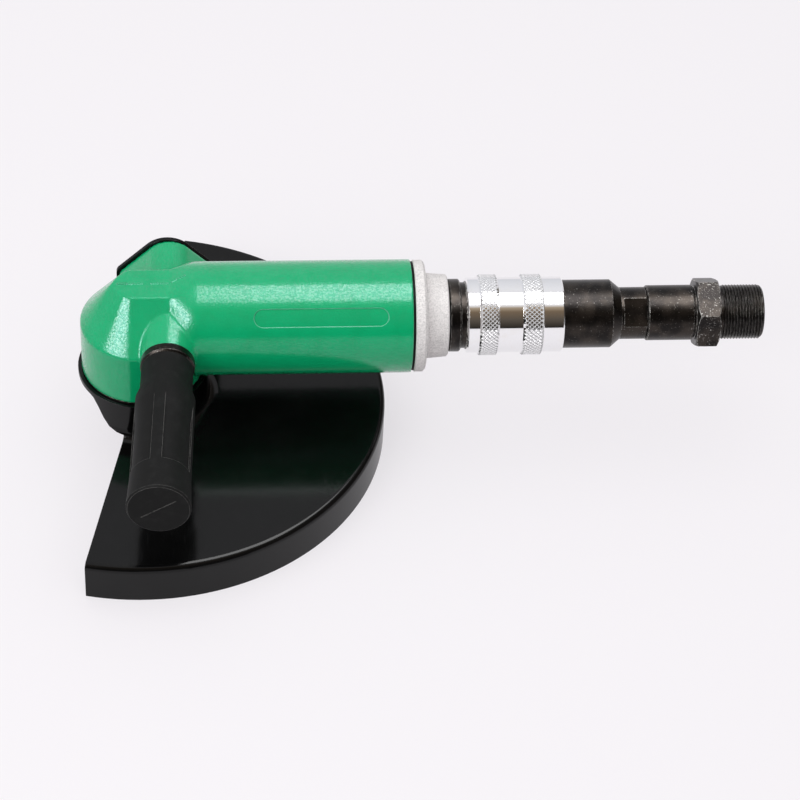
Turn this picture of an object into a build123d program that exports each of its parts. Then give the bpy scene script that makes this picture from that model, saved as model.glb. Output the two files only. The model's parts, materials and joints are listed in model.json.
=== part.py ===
from build123d import *
import os
from math import asin, atan2, cos, degrees, hypot, pi, radians, sin, sqrt, tan

# Air angle grinder for a 230 mm wheel, in millimetres.
# Origin: centre of the wheel seat on the spindle. +X runs along the motor to the hose end, +Z up the spindle.

# Fits between pieces
SLIP = 0.05          # radial room of a running or sliding fit
SEAT = 0.03          # radial room of a fixed seat
RACE_GAP = 0.06      # room between a ball and its race
EDGE = 0.6           # broken edge of a turned piece
SPARE = 1.0          # how far a cutter runs past what it cuts
SOCKET_R = 0.55      # hexagon socket of a cap screw, of its head's radius
SOCKET_DEPTH = 0.6   # and of its head's height

# Motor axis and green casting
MOTOR_Z = 59.0
BODY_R = 28.0
BODY_X0 = 26.0
BODY_X1 = 131.8
BODY_BORE_R = 24.5
SHOULDER_X = 14.0    # where the head's section starts to grow round
SHOULDER_TURN = 125.0      # end of the side's arc on the body, from plumb up
RIM_ROUND = 1.0
OBLONG_X = 86.9      # bare oblong panel sunk in the near side of the body
OBLONG_TILT = 48.8   # from the top towards -Y
OBLONG_SIZE = (65.4, 8.9)
OBLONG_SINK = 0.5

# Gear head of the casting
HEAD_R = 30.4
HEAD_FLAT_Y = 29.8
HEAD_FOOT_Z = 30.5
EAVE_Z = 59.0        # top of the upright wall
STRIP_Z = 82.2       # flat strip along the top of the head
STRIP_TIP_X = -14.6  # its pointed front end
STRIP_TIP_HALF = 0.6
STRIP_CORNER_X = -6.4
STRIP_HALF_Y = 10.3
STRIP_CORNER = 1.2   # cut corners between the point and the sides
BOW_TURNS = (40.0, 50.0)   # headings of the wall below the point's edges, from -X
GEAR_ROOM_R = 25.0
GEAR_ROOM_TOP = 56.0
PINION_ROOM_R = 13.0
PINION_ROOM_X0 = 10.0

# Handle boss on the -Y side, with the handle leaning a little forward
BOSS_X = 12.4
BOSS_LEAN = 2.9
BOSS_R = 12.4
BOSS_DRAFT = 0.297   # growth of the boss radius per millimetre into the head
BOSS_DEPTH = 22.0
BOSS_STANDOFF = 2.0  # how far the boss face stands off the flat side
HANDLE_THREAD_R = 6.0
HANDLE_SOCKET_DEPTH = 14.0

# Gabled service wing on the +Y side and its cover
WING_X = 13.6
WING_Z = 58.2
WING_R = 13.5
WING_HALF = 25.0
WING_FOOT_Z = 36.0
WING_Y0 = 1.0
WING_Y1 = 43.6
WING_WALL = 7.4
WING_CORNER = 3.6
WING_ROOM_CORNER = 1.0
WING_ROOM_Y0 = 24.0
COVER_THICK = 2.2
COVER_SHIFT = 0.9    # towards -X
COVER_GROW = 0.7
COVER_RIDGE_DROP = 5.0   # top screw, below the ridge
COVER_SCREW_R = 1.5
COVER_HEAD_R = 2.8
COVER_HEAD_H = 2.0
COVER_SCREW_DEPTH = 8.0

# Grey exhaust collar behind the body
RING_X1 = 133.0
RING_R = 26.9
COLLAR_FLANGE_X1 = 138.6
COLLAR_FLANGE_R = 27.6
COLLAR_X1 = 149.9
COLLAR_R0 = 21.1
COLLAR_R1 = 20.3
COLLAR_SPIGOT_X0 = 122.3
COLLAR_ROOM_R = 20.0
COLLAR_ROOM_X1 = 136.0
COLLAR_ROUND = 1.1

# Throttle valve body and sleeve
VALVE_X0 = 138.5
VALVE_SPIGOT_R = 15.0
VALVE_NECK_X0 = 150.4
VALVE_NECK_X1 = 156.2
VALVE_NECK_R = 18.0
VALVE_GROOVE_X1 = 159.0
VALVE_GROOVE_R = 16.3
VALVE_R = 16.9
VALVE_SHOULDER_X = 231.0
VALVE_TAIL_X = 235.8
VALVE_TAIL_R = 12.9
VALVE_FLAT_X0 = 237.2
VALVE_X1 = 249.0
VALVE_FLATS = 21.5   # across the wrench flats
VALVE_FLAT_TURN = 47.0
VALVE_BORE_R = 8.5
VALVE_WEB = (183.0, 187.0)
PORT_X = (178.0, 192.0)
PORT_R = 2.6
PORTS = 6
O_RING_X = (163.5, 199.0)
O_RING_R = 0.9
O_RING_GROOVE = 2.4
SLEEVE_X0 = 159.2
SLEEVE_X1 = 206.8
SLEEVE_R = 18.7
KNURL_R = 20.0
KNURL_BANDS = ((165.6, 174.2), (186.8, 196.2))
SLEEVE_ROOM_R = 17.7
SLEEVE_ROOM = (174.5, 189.5)

# Hose bush
BUSH_SPIGOT_X0 = 240.0
BUSH_SPIGOT_R = 9.6
BUSH_BARREL_X1 = 272.3
BUSH_BARREL_R = 13.7
BUSH_RING_R = 12.6
HEX_X0 = 273.3
HEX_X1 = 284.8
HEX_FLATS = 32.0
HEX_TURN = -4.8      # how the thread happened to stop
HEX_CHAMFER_R = 16.4
HEX_CHAMFER_ANGLE = 30.0
THREAD_X0 = 287.0
THREAD_X1 = 307.0
THREAD_R = 13.5      # M27 x 1.5 hose thread
THREAD_RELIEF_R = 12.2
THREAD_CHAMFER = 1.3
HOSE_BORE_R = 9.0
BUSH_NECK_R = 7.0
BUSH_NECK_X1 = 262.0
STRAINER_X1 = 283.0
STRAINER_R = 8.8
STRAINER_WALL = 1.0
STRAINER_HOLE_R = 0.9
STRAINER_HOLES = 6
STRAINER_ROWS = 4
STRAINER_PITCH = 4.2

# Side handle, measured from the boss face outwards
HANDLE_COLLAR_LENGTH = 4.8
HANDLE_COLLAR_R = 13.2
HANDLE_COLLAR_EDGE = 0.9
GRIP_NECK_END = 21.0
GRIP_NECK_R = 12.6
GRIP_START = 27.0
GRIP_R = 14.4
GRIP_RING = 79.0
GRIP_END = 98.7
GRIP_END_R = 15.2
GRIP_END_ROUND = 1.2
GRIP_PANEL_START = 34.0
GRIP_PANEL_DEPTH = 0.8
GRIP_PANEL_ANGLE = 68.0
GRIP_PANELS = 4
GRIP_PANEL_TURN = 53.0   # from the top towards -X
STUD_LENGTH = 66.0

# Guard
GUARD_R = 121.1
GUARD_SHEET = 2.0
GUARD_TOP_Z = 8.7
LIP_Z = -12.5
GUARD_BEND_R = 3.2
GUARD_TURN = 168.0   # heading of the open side
CHORD_OFFSET = 3.2
BAND_R = 32.3
BAND_TOP_Z = 29.5
BAND_FILLET = 5.0
BAND_LOW_Z = 27.0
# Edge of the collar on the open side, as (distance from the spindle towards the opening, z)
COLLAR_EDGE = ((CHORD_OFFSET, 10.6), (6.9, 11.1), (11.1, 12.7), (14.1, 16.8), (17.0, 22.5),
               (20.2, BAND_LOW_Z))
CLAMP_TURN = 50.0    # heading of the clamp, behind the body
CLAMP_SLOT = 2.4
CLAMP_SLOT_Z = 14.5
EAR_THICK = 4.0
EAR_ROOT = 31.0
EAR_REACH = 44.0
EAR_Z = (14.5, 26.0)
CLAMP_X = 39.0
CLAMP_R = 2.5
CLAMP_ROOM = 0.2
CLAMP_HEAD_R = 4.2
CLAMP_HEAD_H = 5.0
CLAMP_NUT_R = 4.6
CLAMP_NUT_H = 4.0
CLAMP_TIP = 1.5      # thread that shows past the nut

# Bearing cap below the head
CAP_R = BAND_R - 2.3
CAP_FLANGE_Z = 24.0
CAP_SPIGOT_Z = 34.0
CAP_BARREL_R0 = 24.2
CAP_BARREL_R1 = 23.2
CAP_Z0 = 7.0
CAP_SCREW_PITCH = 27.1
CAP_SCREW_R = 1.6
CAP_SCREW_HEAD_R = 2.6
CAP_SCREW_HEAD_H = 2.2
CAP_SCREW_DEPTH = 7.0
CAP_SCREWS = 6
CAP_FIRST_SCREW = 30.0

# Spindle line
THREAD_M14_R = 7.0
SPINDLE_TIP_Z = -9.7
PILOT_R = 11.1       # fits the 22.2 mm bore of a wheel
PILOT_LENGTH = 1.8
FLANGE_R = 21.0
FLANGE_THICK = 5.0
FLANGE_HUB_R = 12.0
SPINDLE_R = 8.5
SHAFT_COLLAR_R = 11.0
LOWER_BEARING_Z = 12.0
LOWER_BEARING = (17.0, 40.0, 12.0, 3.6, 8)   # bore, outside, width, ball radius, balls
RETAINER_Z1 = 27.5
RETAINER_WIDTH = 4.0
RETAINER_HOLE_R = 1.2
RETAINER_HOLES = 4
SEAL_R = FLANGE_HUB_R + 3.0
SEAL_END_GAP = 0.5
SEAL_LIP_GAP = 0.35
GEAR_SEAT_Z0 = 36.0
GEAR_SEAT_R = 8.0
CIRCLIP_Z = 51.0
CIRCLIP_THICK = 1.2
CIRCLIP_SINK = 0.8
CIRCLIP_RISE = 1.2
CIRCLIP_GAP = 4.0
NEEDLE_JOURNAL_R = 4.0
NEEDLE_R = 1.0
NEEDLES = 12
NEEDLE_Z = (58.0, 68.0)
NEEDLE_END_GAP = 0.8
NEEDLE_SHELL_R = NEEDLE_JOURNAL_R + 2 * NEEDLE_R + 1.5
SPINDLE_TOP_Z = 69.0

# Bevel gears: the cones meet at the motor axis above the spindle
GEAR_TEETH = 27
PINION_TEETH = 13
GEAR_PITCH_R = 20.0
PINION_PITCH_R = GEAR_PITCH_R * PINION_TEETH / GEAR_TEETH
FACE_WIDTH = 6.0
TOOTH_MODULE = 2 * GEAR_PITCH_R / GEAR_TEETH
ADDENDUM = 0.75 * TOOTH_MODULE
DEDENDUM = 1.05 * TOOTH_MODULE
TOOTH_THICK = 0.38 * pi * TOOTH_MODULE
FLANK_ANGLE = 20.0
TOOTH_ROOT_SINK = 0.5
PINION_BORE_R = 4.5
PINION_FACE_X = 15.0
PINION_HUB_R = 8.5
GEAR_HUB_R = 13.0

# Vane motor
FRONT_BEARING_X = 33.0
FRONT_BEARING = (15.0, 35.0, 11.0, 3.0, 9)
FRONT_PLATE_X = (44.0, 50.0)
CYLINDER_X = (50.0, 110.0)
MOTOR_FIT_R = BODY_BORE_R - SEAT
CYLINDER_BORE_R = 19.0
CYLINDER_OFFSET = 2.4
ROTOR_R = 16.2
ROTOR_END_GAP = 0.3
VANES = 5
VANE_THICK = 2.4
VANE_DEPTH = 8.5
ROTOR_FRONT_R = 7.5
ROTOR_REAR_R = 6.0
ROTOR_NUT_R = 9.0
ROTOR_NUT_THICK = 3.0
SHAFT_ROOM = 0.4
SLOTS = 5
SLOT_SIZE = (4.0, 14.0, 12.0)
AIR_PORT_R = 2.2
AIR_PORT_PITCH = 20.0
AIR_PORTS = 3
AIR_PORT_SPREAD = 80.0
REAR_PLATE_X = (110.0, 122.0)
REAR_BEARING_X = 112.0
REAR_BEARING = (12.0, 32.0, 10.0, 2.8, 8)
ROTOR_X1 = 125.5

CENTRE_LOW = (Align.CENTER, Align.CENTER, Align.MIN)
OUT_AND_UP = (Align.MIN, Align.CENTER, Align.MIN)
MOTOR_AXIS = Axis((0, 0, MOTOR_Z), (1, 0, 0))


def rod_x(x0, x1, radius):
    """Rod on the motor axis."""
    return Pos(x0, 0, MOTOR_Z) * Rot(0, 90, 0) * Cylinder(radius, x1 - x0, align=CENTRE_LOW)


def rod_z(z0, z1, radius):
    """Rod on the spindle axis."""
    return Pos(0, 0, z0) * Cylinder(radius, z1 - z0, align=CENTRE_LOW)


def turned_x(*corners):
    """Body turned on the motor axis from (x, radius) corners."""
    outline = Polyline(*[(x, 0, MOTOR_Z + radius) for x, radius in corners], close=True)
    return revolve(make_face(outline), MOTOR_AXIS)


def turned_z(*corners):
    """Body turned on the spindle axis from (radius, z) corners."""
    outline = Polyline(*[(radius, 0, z) for radius, z in corners], close=True)
    return revolve(make_face(outline), Axis.Z)


def group(pieces):
    """Separate solids kept together in one node."""
    return Compound([solid for piece in pieces for solid in piece.solids()])


def on_motor(x, piece):
    """Move a piece built on +Z onto the motor axis, its foot at x."""
    return Pos(x, 0, MOTOR_Z) * Rot(0, 90, 0) * piece


def ball_bearing(bore, outside, width, ball_r, balls):
    """Outer ring, inner ring and balls of a bearing that stands on the origin along +Z."""
    pitch_r = (bore + outside) / 4
    shoulder = 0.55 * ball_r
    groove = Pos(0, 0, width / 2) * Torus(pitch_r, ball_r + RACE_GAP)
    outer = rod_z(0, width, outside / 2 - SEAT) - rod_z(0, width, pitch_r + shoulder) - groove
    inner = rod_z(0, width, pitch_r - shoulder) - rod_z(0, width, bore / 2 + SEAT) - groove
    ball_set = [Pos(0, 0, width / 2) * spot * Sphere(ball_r) for spot in PolarLocations(pitch_r, balls)]
    return outer, inner, group(ball_set)


def gable(centre_x, centre_z, radius, half_width, foot_z, corner):
    """Upright face in the XZ plane: round ridge, two 45 degree flanks, plumb sides, rounded corners."""
    side = radius * sqrt(0.5)
    eave = centre_z + 2 * side - half_width
    ridge = ThreePointArc((centre_x - side, centre_z + side), (centre_x, centre_z + radius),
                          (centre_x + side, centre_z + side))
    walls = Polyline((centre_x + side, centre_z + side), (centre_x + half_width, eave),
                     (centre_x + half_width, foot_z), (centre_x - half_width, foot_z),
                     (centre_x - half_width, eave), (centre_x - side, centre_z + side))
    face = Sketch() + make_face([*ridge.edges(), *walls.edges()])
    corners = [vertex for vertex in face.vertices() if abs(vertex.X - centre_x) > half_width - EDGE]
    return Plane.XZ * fillet(corners, corner)


def wall_point(turn):
    """Point of the round nose at a heading from -X towards +Y."""
    return (-HEAD_R * cos(radians(turn)), HEAD_R * sin(radians(turn)))


def wall_arc(start, end):
    """Arc of the round nose between two headings."""
    return ThreePointArc(wall_point(start), wall_point((start + end) / 2), wall_point(end))


def eave_outline():
    """Outline of the upright wall: round nose and flat sides, from the back's near corner on."""
    flat = degrees(asin(HEAD_FLAT_Y / HEAD_R))
    turns = [-flat, -BOW_TURNS[1], -BOW_TURNS[0], BOW_TURNS[0], BOW_TURNS[1], flat]
    near, far = wall_point(-flat), wall_point(flat)
    return [Line((SHOULDER_X, -HEAD_FLAT_Y), near), *[wall_arc(*pair) for pair in zip(turns, turns[1:])],
            Line(far, (SHOULDER_X, HEAD_FLAT_Y)), Line((SHOULDER_X, HEAD_FLAT_Y), (SHOULDER_X, -HEAD_FLAT_Y))]


def strip_outline():
    """Outline of the strip on top, edge by edge above the wall's."""
    side_x, corner_y = STRIP_CORNER_X + STRIP_CORNER, STRIP_HALF_Y - STRIP_CORNER
    half = [(SHOULDER_X, STRIP_HALF_Y), (side_x, STRIP_HALF_Y), (STRIP_CORNER_X, corner_y),
            (STRIP_TIP_X, STRIP_TIP_HALF)]
    corners = [(x, -y) for x, y in half] + half[::-1]
    return [Line(*pair) for pair in zip(corners, corners[1:] + corners[:1])]


def head_block():
    """Round-nosed, flat-sided head; its top runs from the wall up to the pointed strip."""
    wall = extrude(make_face(eave_outline()), EAVE_Z - HEAD_FOOT_Z)
    round_foot = Cylinder(HEAD_R, EAVE_Z - HEAD_FOOT_Z, align=CENTRE_LOW)
    wall += round_foot & Box(4 * HEAD_R, 2 * HEAD_FLAT_Y, EAVE_Z, align=CENTRE_LOW)
    eave = Pos(0, 0, EAVE_Z) * make_face(eave_outline())
    top = loft([eave, Pos(0, 0, STRIP_Z) * make_face(strip_outline())], ruled=True)
    return Pos(0, 0, HEAD_FOOT_Z) * wall + top


def body_point(turn):
    """Point of the motor body's round section, turned from plumb up towards +Y, as (y, z)."""
    return (BODY_R * sin(radians(turn)), MOTOR_Z + BODY_R * cos(radians(turn)))


def shoulder():
    """Piece that grows from the head's gabled section to the round motor body."""
    crown = degrees(atan2(STRIP_HALF_Y, STRIP_Z - MOTOR_Z))
    turns = [-crown, crown, 90, SHOULDER_TURN, 360 - SHOULDER_TURN, 270, 360 - crown]
    arcs = [ThreePointArc(body_point(start), body_point((start + end) / 2), body_point(end))
            for start, end in zip(turns, turns[1:])]
    far = [(STRIP_HALF_Y, STRIP_Z), (HEAD_FLAT_Y, EAVE_Z), (HEAD_FLAT_Y, body_point(SHOULDER_TURN)[1])]
    corners = [(-STRIP_HALF_Y, STRIP_Z), *far, *[(-y, z) for y, z in far[:0:-1]]]
    gabled = make_face([Line(*pair) for pair in zip(corners, corners[1:] + corners[:1])])
    ends = [Plane.YZ.offset(SHOULDER_X) * gabled, Plane.YZ.offset(BODY_X0) * make_face(arcs)]
    return loft(ends, ruled=True)


def boss_place():
    """Frame on the boss face, its Z axis pointing out along the handle."""
    lean = radians(BOSS_LEAN)
    return Location(Plane((BOSS_X, -HEAD_FLAT_Y - BOSS_STANDOFF, MOTOR_Z), x_dir=(0, 0, 1),
                          z_dir=(-sin(lean), -cos(lean), 0)))


def handle_boss():
    """Tapered boss that carries the side handle."""
    root_r = BOSS_R + BOSS_DRAFT * BOSS_DEPTH
    return boss_place() * Pos(0, 0, -BOSS_DEPTH) * Cone(root_r, BOSS_R, BOSS_DEPTH + SEAT, align=CENTRE_LOW)


def body_panel():
    """Cutter of the shallow oblong panel on the motor body."""
    oblong = extrude(SlotOverall(*OBLONG_SIZE), 2 * BODY_R)
    placed = Pos(OBLONG_X, 0, MOTOR_Z) * Rot(OBLONG_TILT, 0, 0) * oblong
    return placed - rod_x(0, BODY_X1, BODY_R - OBLONG_SINK)


def cover_screw_places():
    """Centres of the cover screws in the wing's wall, as (x, z)."""
    edge = WING_WALL / 2
    low = WING_FOOT_Z + edge
    side = WING_HALF - edge
    return [(WING_X - side, low), (WING_X + side, low), (WING_X, WING_Z + WING_R - COVER_RIDGE_DROP)]


def motor_housing():
    """Green casting: gear head, handle boss, service wing and motor body in one piece."""
    body = turned_x((BODY_X0, 0), (BODY_X0, BODY_R), (BODY_X1 - RIM_ROUND, BODY_R),
                    (BODY_X1, BODY_R - RIM_ROUND), (BODY_X1, 0))
    wing_face = Pos(0, WING_Y0, 0) * gable(WING_X, WING_Z, WING_R, WING_HALF, WING_FOOT_Z, WING_CORNER)
    wing = extrude(wing_face, amount=WING_Y1 - WING_Y0, dir=(0, 1, 0))
    casting = head_block() + shoulder() + body + handle_boss() + wing

    casting -= body_panel()
    casting -= rod_z(HEAD_FOOT_Z, GEAR_ROOM_TOP, GEAR_ROOM_R)
    casting -= rod_x(PINION_ROOM_X0, FRONT_BEARING_X, PINION_ROOM_R)
    casting -= rod_x(FRONT_BEARING_X, FRONT_PLATE_X[0], FRONT_BEARING[1] / 2)
    casting -= rod_x(FRONT_PLATE_X[0], BODY_X1, BODY_BORE_R)
    casting -= rod_z(GEAR_ROOM_TOP, SPINDLE_TOP_Z + SPARE, NEEDLE_SHELL_R)
    room_face = gable(WING_X, WING_Z, WING_R - WING_WALL, WING_HALF - WING_WALL, WING_FOOT_Z + WING_WALL,
                      WING_ROOM_CORNER)
    casting -= extrude(Pos(0, WING_ROOM_Y0, 0) * room_face, amount=WING_Y1 - WING_ROOM_Y0, dir=(0, 1, 0))
    casting -= boss_place() * Pos(0, 0, -HANDLE_SOCKET_DEPTH) * Cylinder(
        HANDLE_THREAD_R + SEAT, HANDLE_SOCKET_DEPTH + SPARE, align=CENTRE_LOW)
    cover_hole = Rot(90, 0, 0) * Cylinder(COVER_SCREW_R + SEAT, COVER_SCREW_DEPTH + SPARE, align=CENTRE_LOW)
    for x, z in cover_screw_places():
        casting -= Pos(x, WING_Y1, z) * cover_hole
    cap_hole = rod_z(HEAD_FOOT_Z, HEAD_FOOT_Z + CAP_SCREW_DEPTH + SPARE, CAP_SCREW_R + SEAT)
    for spot in PolarLocations(CAP_SCREW_PITCH, CAP_SCREWS, CAP_FIRST_SCREW):
        casting -= spot * cap_hole
    return casting


def side_cover():
    """Plate that closes the service wing."""
    face = gable(WING_X - COVER_SHIFT, WING_Z, WING_R + COVER_GROW, WING_HALF + COVER_GROW, WING_FOOT_Z,
                 WING_CORNER + COVER_GROW)
    plate = extrude(Pos(0, WING_Y1, 0) * face, amount=COVER_THICK, dir=(0, 1, 0))
    for x, z in cover_screw_places():
        plate -= Pos(x, WING_Y1, z) * Rot(90, 0, 0) * Cylinder(COVER_SCREW_R + SEAT, 4 * COVER_THICK)
    return plate


def socket_screw(radius, length, head_r, head_h):
    """Cap screw along +Z: shank below the origin, head above it, with a hexagon socket."""
    screw = Pos(0, 0, -length) * Cylinder(radius, length, align=CENTRE_LOW)
    screw += Cylinder(head_r, head_h, align=CENTRE_LOW)
    depth = SOCKET_DEPTH * head_h
    return screw - Pos(0, 0, head_h - depth) * extrude(RegularPolygon(SOCKET_R * head_r, 6), depth)


def side_cover_screws():
    """Screws of the service cover."""
    screw = socket_screw(COVER_SCREW_R, COVER_THICK + COVER_SCREW_DEPTH, COVER_HEAD_R, COVER_HEAD_H)
    return group([Pos(x, WING_Y1 + COVER_THICK, z) * Rot(-90, 0, 0) * screw
                  for x, z in cover_screw_places()])


def bearing_cap():
    """Cap below the head that holds the lower spindle bearing and carries the guard."""
    pocket_r = LOWER_BEARING[1] / 2
    cap = turned_z((SEAL_R, CAP_Z0), (CAP_BARREL_R1, CAP_Z0), (CAP_BARREL_R0, CAP_FLANGE_Z),
                   (CAP_R, CAP_FLANGE_Z), (CAP_R, HEAD_FOOT_Z), (GEAR_ROOM_R - SEAT, HEAD_FOOT_Z),
                   (GEAR_ROOM_R - SEAT, CAP_SPIGOT_Z), (pocket_r, CAP_SPIGOT_Z), (pocket_r, LOWER_BEARING_Z),
                   (SEAL_R, LOWER_BEARING_Z))
    for spot in PolarLocations(CAP_SCREW_PITCH, CAP_SCREWS, CAP_FIRST_SCREW):
        cap -= Pos(0, 0, CAP_FLANGE_Z) * spot * Cylinder(CAP_SCREW_R + SEAT, CAP_SPIGOT_Z)
    return cap


def bearing_cap_screws():
    """Screws that hold the cap to the head."""
    length = HEAD_FOOT_Z - CAP_FLANGE_Z + CAP_SCREW_DEPTH
    screw = Rot(180, 0, 0) * socket_screw(CAP_SCREW_R, length, CAP_SCREW_HEAD_R, CAP_SCREW_HEAD_H)
    return group([Pos(0, 0, CAP_FLANGE_Z) * spot * screw
                  for spot in PolarLocations(CAP_SCREW_PITCH, CAP_SCREWS, CAP_FIRST_SCREW)])


def bearing_retainer():
    """Screwed ring that keeps the lower bearing in the cap."""
    outer = LOWER_BEARING[1] / 2 - SEAT
    ring = rod_z(LOWER_BEARING_Z + LOWER_BEARING[2], RETAINER_Z1, outer)
    ring -= rod_z(0, RETAINER_Z1, outer - RETAINER_WIDTH)
    for spot in PolarLocations(outer - RETAINER_WIDTH / 2, RETAINER_HOLES):
        ring -= Pos(0, 0, RETAINER_Z1) * spot * Cylinder(RETAINER_HOLE_R, RETAINER_WIDTH)
    return ring


def spindle_seal():
    """Rubber ring in the cap's mouth, clear of the turning flange hub."""
    ring = rod_z(CAP_Z0 + SEAL_END_GAP, LOWER_BEARING_Z - SEAL_END_GAP, SEAL_R - SEAT)
    return ring - rod_z(0, LOWER_BEARING_Z, FLANGE_HUB_R + SEAL_LIP_GAP)


def guard():
    """Half guard: turned-down rim, flat plate and a split collar with clamp ears."""
    inner = CAP_R + SLIP
    plate_low = GUARD_TOP_Z - GUARD_SHEET
    corners = [(inner, BAND_TOP_Z), (BAND_R, BAND_TOP_Z), (BAND_R, GUARD_TOP_Z), (GUARD_R, GUARD_TOP_Z),
               (GUARD_R, LIP_Z), (GUARD_R - GUARD_SHEET, LIP_Z), (GUARD_R - GUARD_SHEET, plate_low),
               (inner, plate_low)]
    section = Sketch() + make_face(Polyline(*corners, close=True))
    rounds = (((BAND_R, GUARD_TOP_Z), BAND_FILLET), ((GUARD_R, GUARD_TOP_Z), GUARD_BEND_R),
              ((GUARD_R - GUARD_SHEET, plate_low), GUARD_BEND_R - GUARD_SHEET))
    for (r, z), radius in rounds:
        section = fillet(section.vertices().sort_by_distance((r, z, 0))[0], radius)
    shell = revolve(Plane.XZ * section, Axis.Z)

    reach = GUARD_R + SPARE
    floor = LIP_Z - SPARE
    opening = Polyline((CHORD_OFFSET, floor), *COLLAR_EDGE, (reach, BAND_LOW_Z), (reach, floor), close=True)
    cut = extrude(Plane.XZ * make_face(opening), amount=reach, both=True)
    shell -= Rot(0, 0, GUARD_TURN) * cut

    turn = Rot(0, 0, CLAMP_TURN)
    ear_low, ear_high = EAR_Z
    ear = Box(EAR_REACH - EAR_ROOT, EAR_THICK, ear_high - ear_low, align=OUT_AND_UP)
    for side in (-1, 1):
        shell += turn * Pos(EAR_ROOT, side * (CLAMP_SLOT + EAR_THICK) / 2, ear_low) * ear
    slot = Box(EAR_REACH + SPARE, CLAMP_SLOT, BAND_TOP_Z, align=OUT_AND_UP)
    shell -= turn * Pos(0, 0, CLAMP_SLOT_Z) * slot
    return shell - clamp_line() * Cylinder(CLAMP_R + CLAMP_ROOM, 4 * EAR_THICK)


def clamp_line():
    """Frame on the clamp screw, its Z axis across the slot."""
    across = Location(Plane((CLAMP_X, 0, sum(EAR_Z) / 2), x_dir=(1, 0, 0), z_dir=(0, 1, 0)))
    return Rot(0, 0, CLAMP_TURN) * across


def guard_clamp_screw():
    """Screw that draws the guard collar together."""
    grip = CLAMP_SLOT / 2 + EAR_THICK
    length = 2 * grip + CLAMP_NUT_H + CLAMP_TIP
    screw = socket_screw(CLAMP_R, length, CLAMP_HEAD_R, CLAMP_HEAD_H)
    return clamp_line() * Pos(0, 0, grip) * screw


def guard_clamp_nut():
    """Hexagon nut on the clamp screw."""
    grip = CLAMP_SLOT / 2 + EAR_THICK
    nut = extrude(RegularPolygon(CLAMP_NUT_R, 6), CLAMP_NUT_H) - Cylinder(CLAMP_R + SEAT, 4 * CLAMP_NUT_H)
    return clamp_line() * Pos(0, 0, -grip - CLAMP_NUT_H) * nut


def handle_stud():
    """Threaded stud from the boss into the grip."""
    return boss_place() * rod_z(SPARE - HANDLE_SOCKET_DEPTH, STUD_LENGTH, HANDLE_THREAD_R)


def handle_collar():
    """Ring between the boss and the grip."""
    ring = rod_z(2 * SEAT, HANDLE_COLLAR_LENGTH, HANDLE_COLLAR_R)
    ring = chamfer(ring.edges().sort_by(Axis.Z)[-1], HANDLE_COLLAR_EDGE)
    return boss_place() * (ring - Cylinder(HANDLE_THREAD_R + SEAT, 4 * HANDLE_COLLAR_LENGTH))


def handle_grip():
    """Rubber grip with four sunk panels and a flared end."""
    start = HANDLE_COLLAR_LENGTH
    grip = turned_z((0, start), (GRIP_NECK_R - EDGE, start), (GRIP_NECK_R, start + EDGE),
                    (GRIP_NECK_R, GRIP_NECK_END), (GRIP_R, GRIP_START), (GRIP_R, GRIP_RING),
                    (GRIP_END_R, GRIP_END - GRIP_END_ROUND), (GRIP_END_R - GRIP_END_ROUND, GRIP_END),
                    (0, GRIP_END))
    skin = rod_z(GRIP_PANEL_START, GRIP_RING, GRIP_R + SPARE)
    skin -= rod_z(0, GRIP_END, GRIP_R - GRIP_PANEL_DEPTH)
    out = 2 * GRIP_R
    side = out * tan(radians(GRIP_PANEL_ANGLE / 2))
    sector = extrude(make_face(Polyline((0, 0), (out, side), (out, -side), close=True)), GRIP_END)
    panel = skin & sector
    for number in range(GRIP_PANELS):
        grip -= Rot(0, 0, GRIP_PANEL_TURN + number * 360 / GRIP_PANELS) * panel
    grip -= rod_z(0, STUD_LENGTH + SPARE, HANDLE_THREAD_R + SEAT)
    return boss_place() * grip


def exhaust_ring():
    """Dark ring in the exhaust gap between the body and the collar."""
    return rod_x(BODY_X1, RING_X1, RING_R) - rod_x(BODY_X1, RING_X1, MOTOR_FIT_R + SEAT)


def exhaust_collar():
    """Cast collar that closes the body and takes the throttle valve."""
    inner = VALVE_SPIGOT_R + SEAT
    return turned_x((COLLAR_SPIGOT_X0, COLLAR_ROOM_R), (COLLAR_SPIGOT_X0, MOTOR_FIT_R),
                    (RING_X1, MOTOR_FIT_R), (RING_X1, COLLAR_FLANGE_R - EDGE),
                    (RING_X1 + EDGE, COLLAR_FLANGE_R),
                    (COLLAR_FLANGE_X1 - COLLAR_ROUND, COLLAR_FLANGE_R),
                    (COLLAR_FLANGE_X1, COLLAR_FLANGE_R - COLLAR_ROUND),
                    (COLLAR_FLANGE_X1, COLLAR_R0 + COLLAR_ROUND),
                    (COLLAR_FLANGE_X1 + COLLAR_ROUND, COLLAR_R0),
                    (COLLAR_X1 - EDGE, COLLAR_R1), (COLLAR_X1, COLLAR_R1 - EDGE), (COLLAR_X1, inner),
                    (COLLAR_ROOM_X1, inner), (COLLAR_ROOM_X1, COLLAR_ROOM_R))


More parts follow.
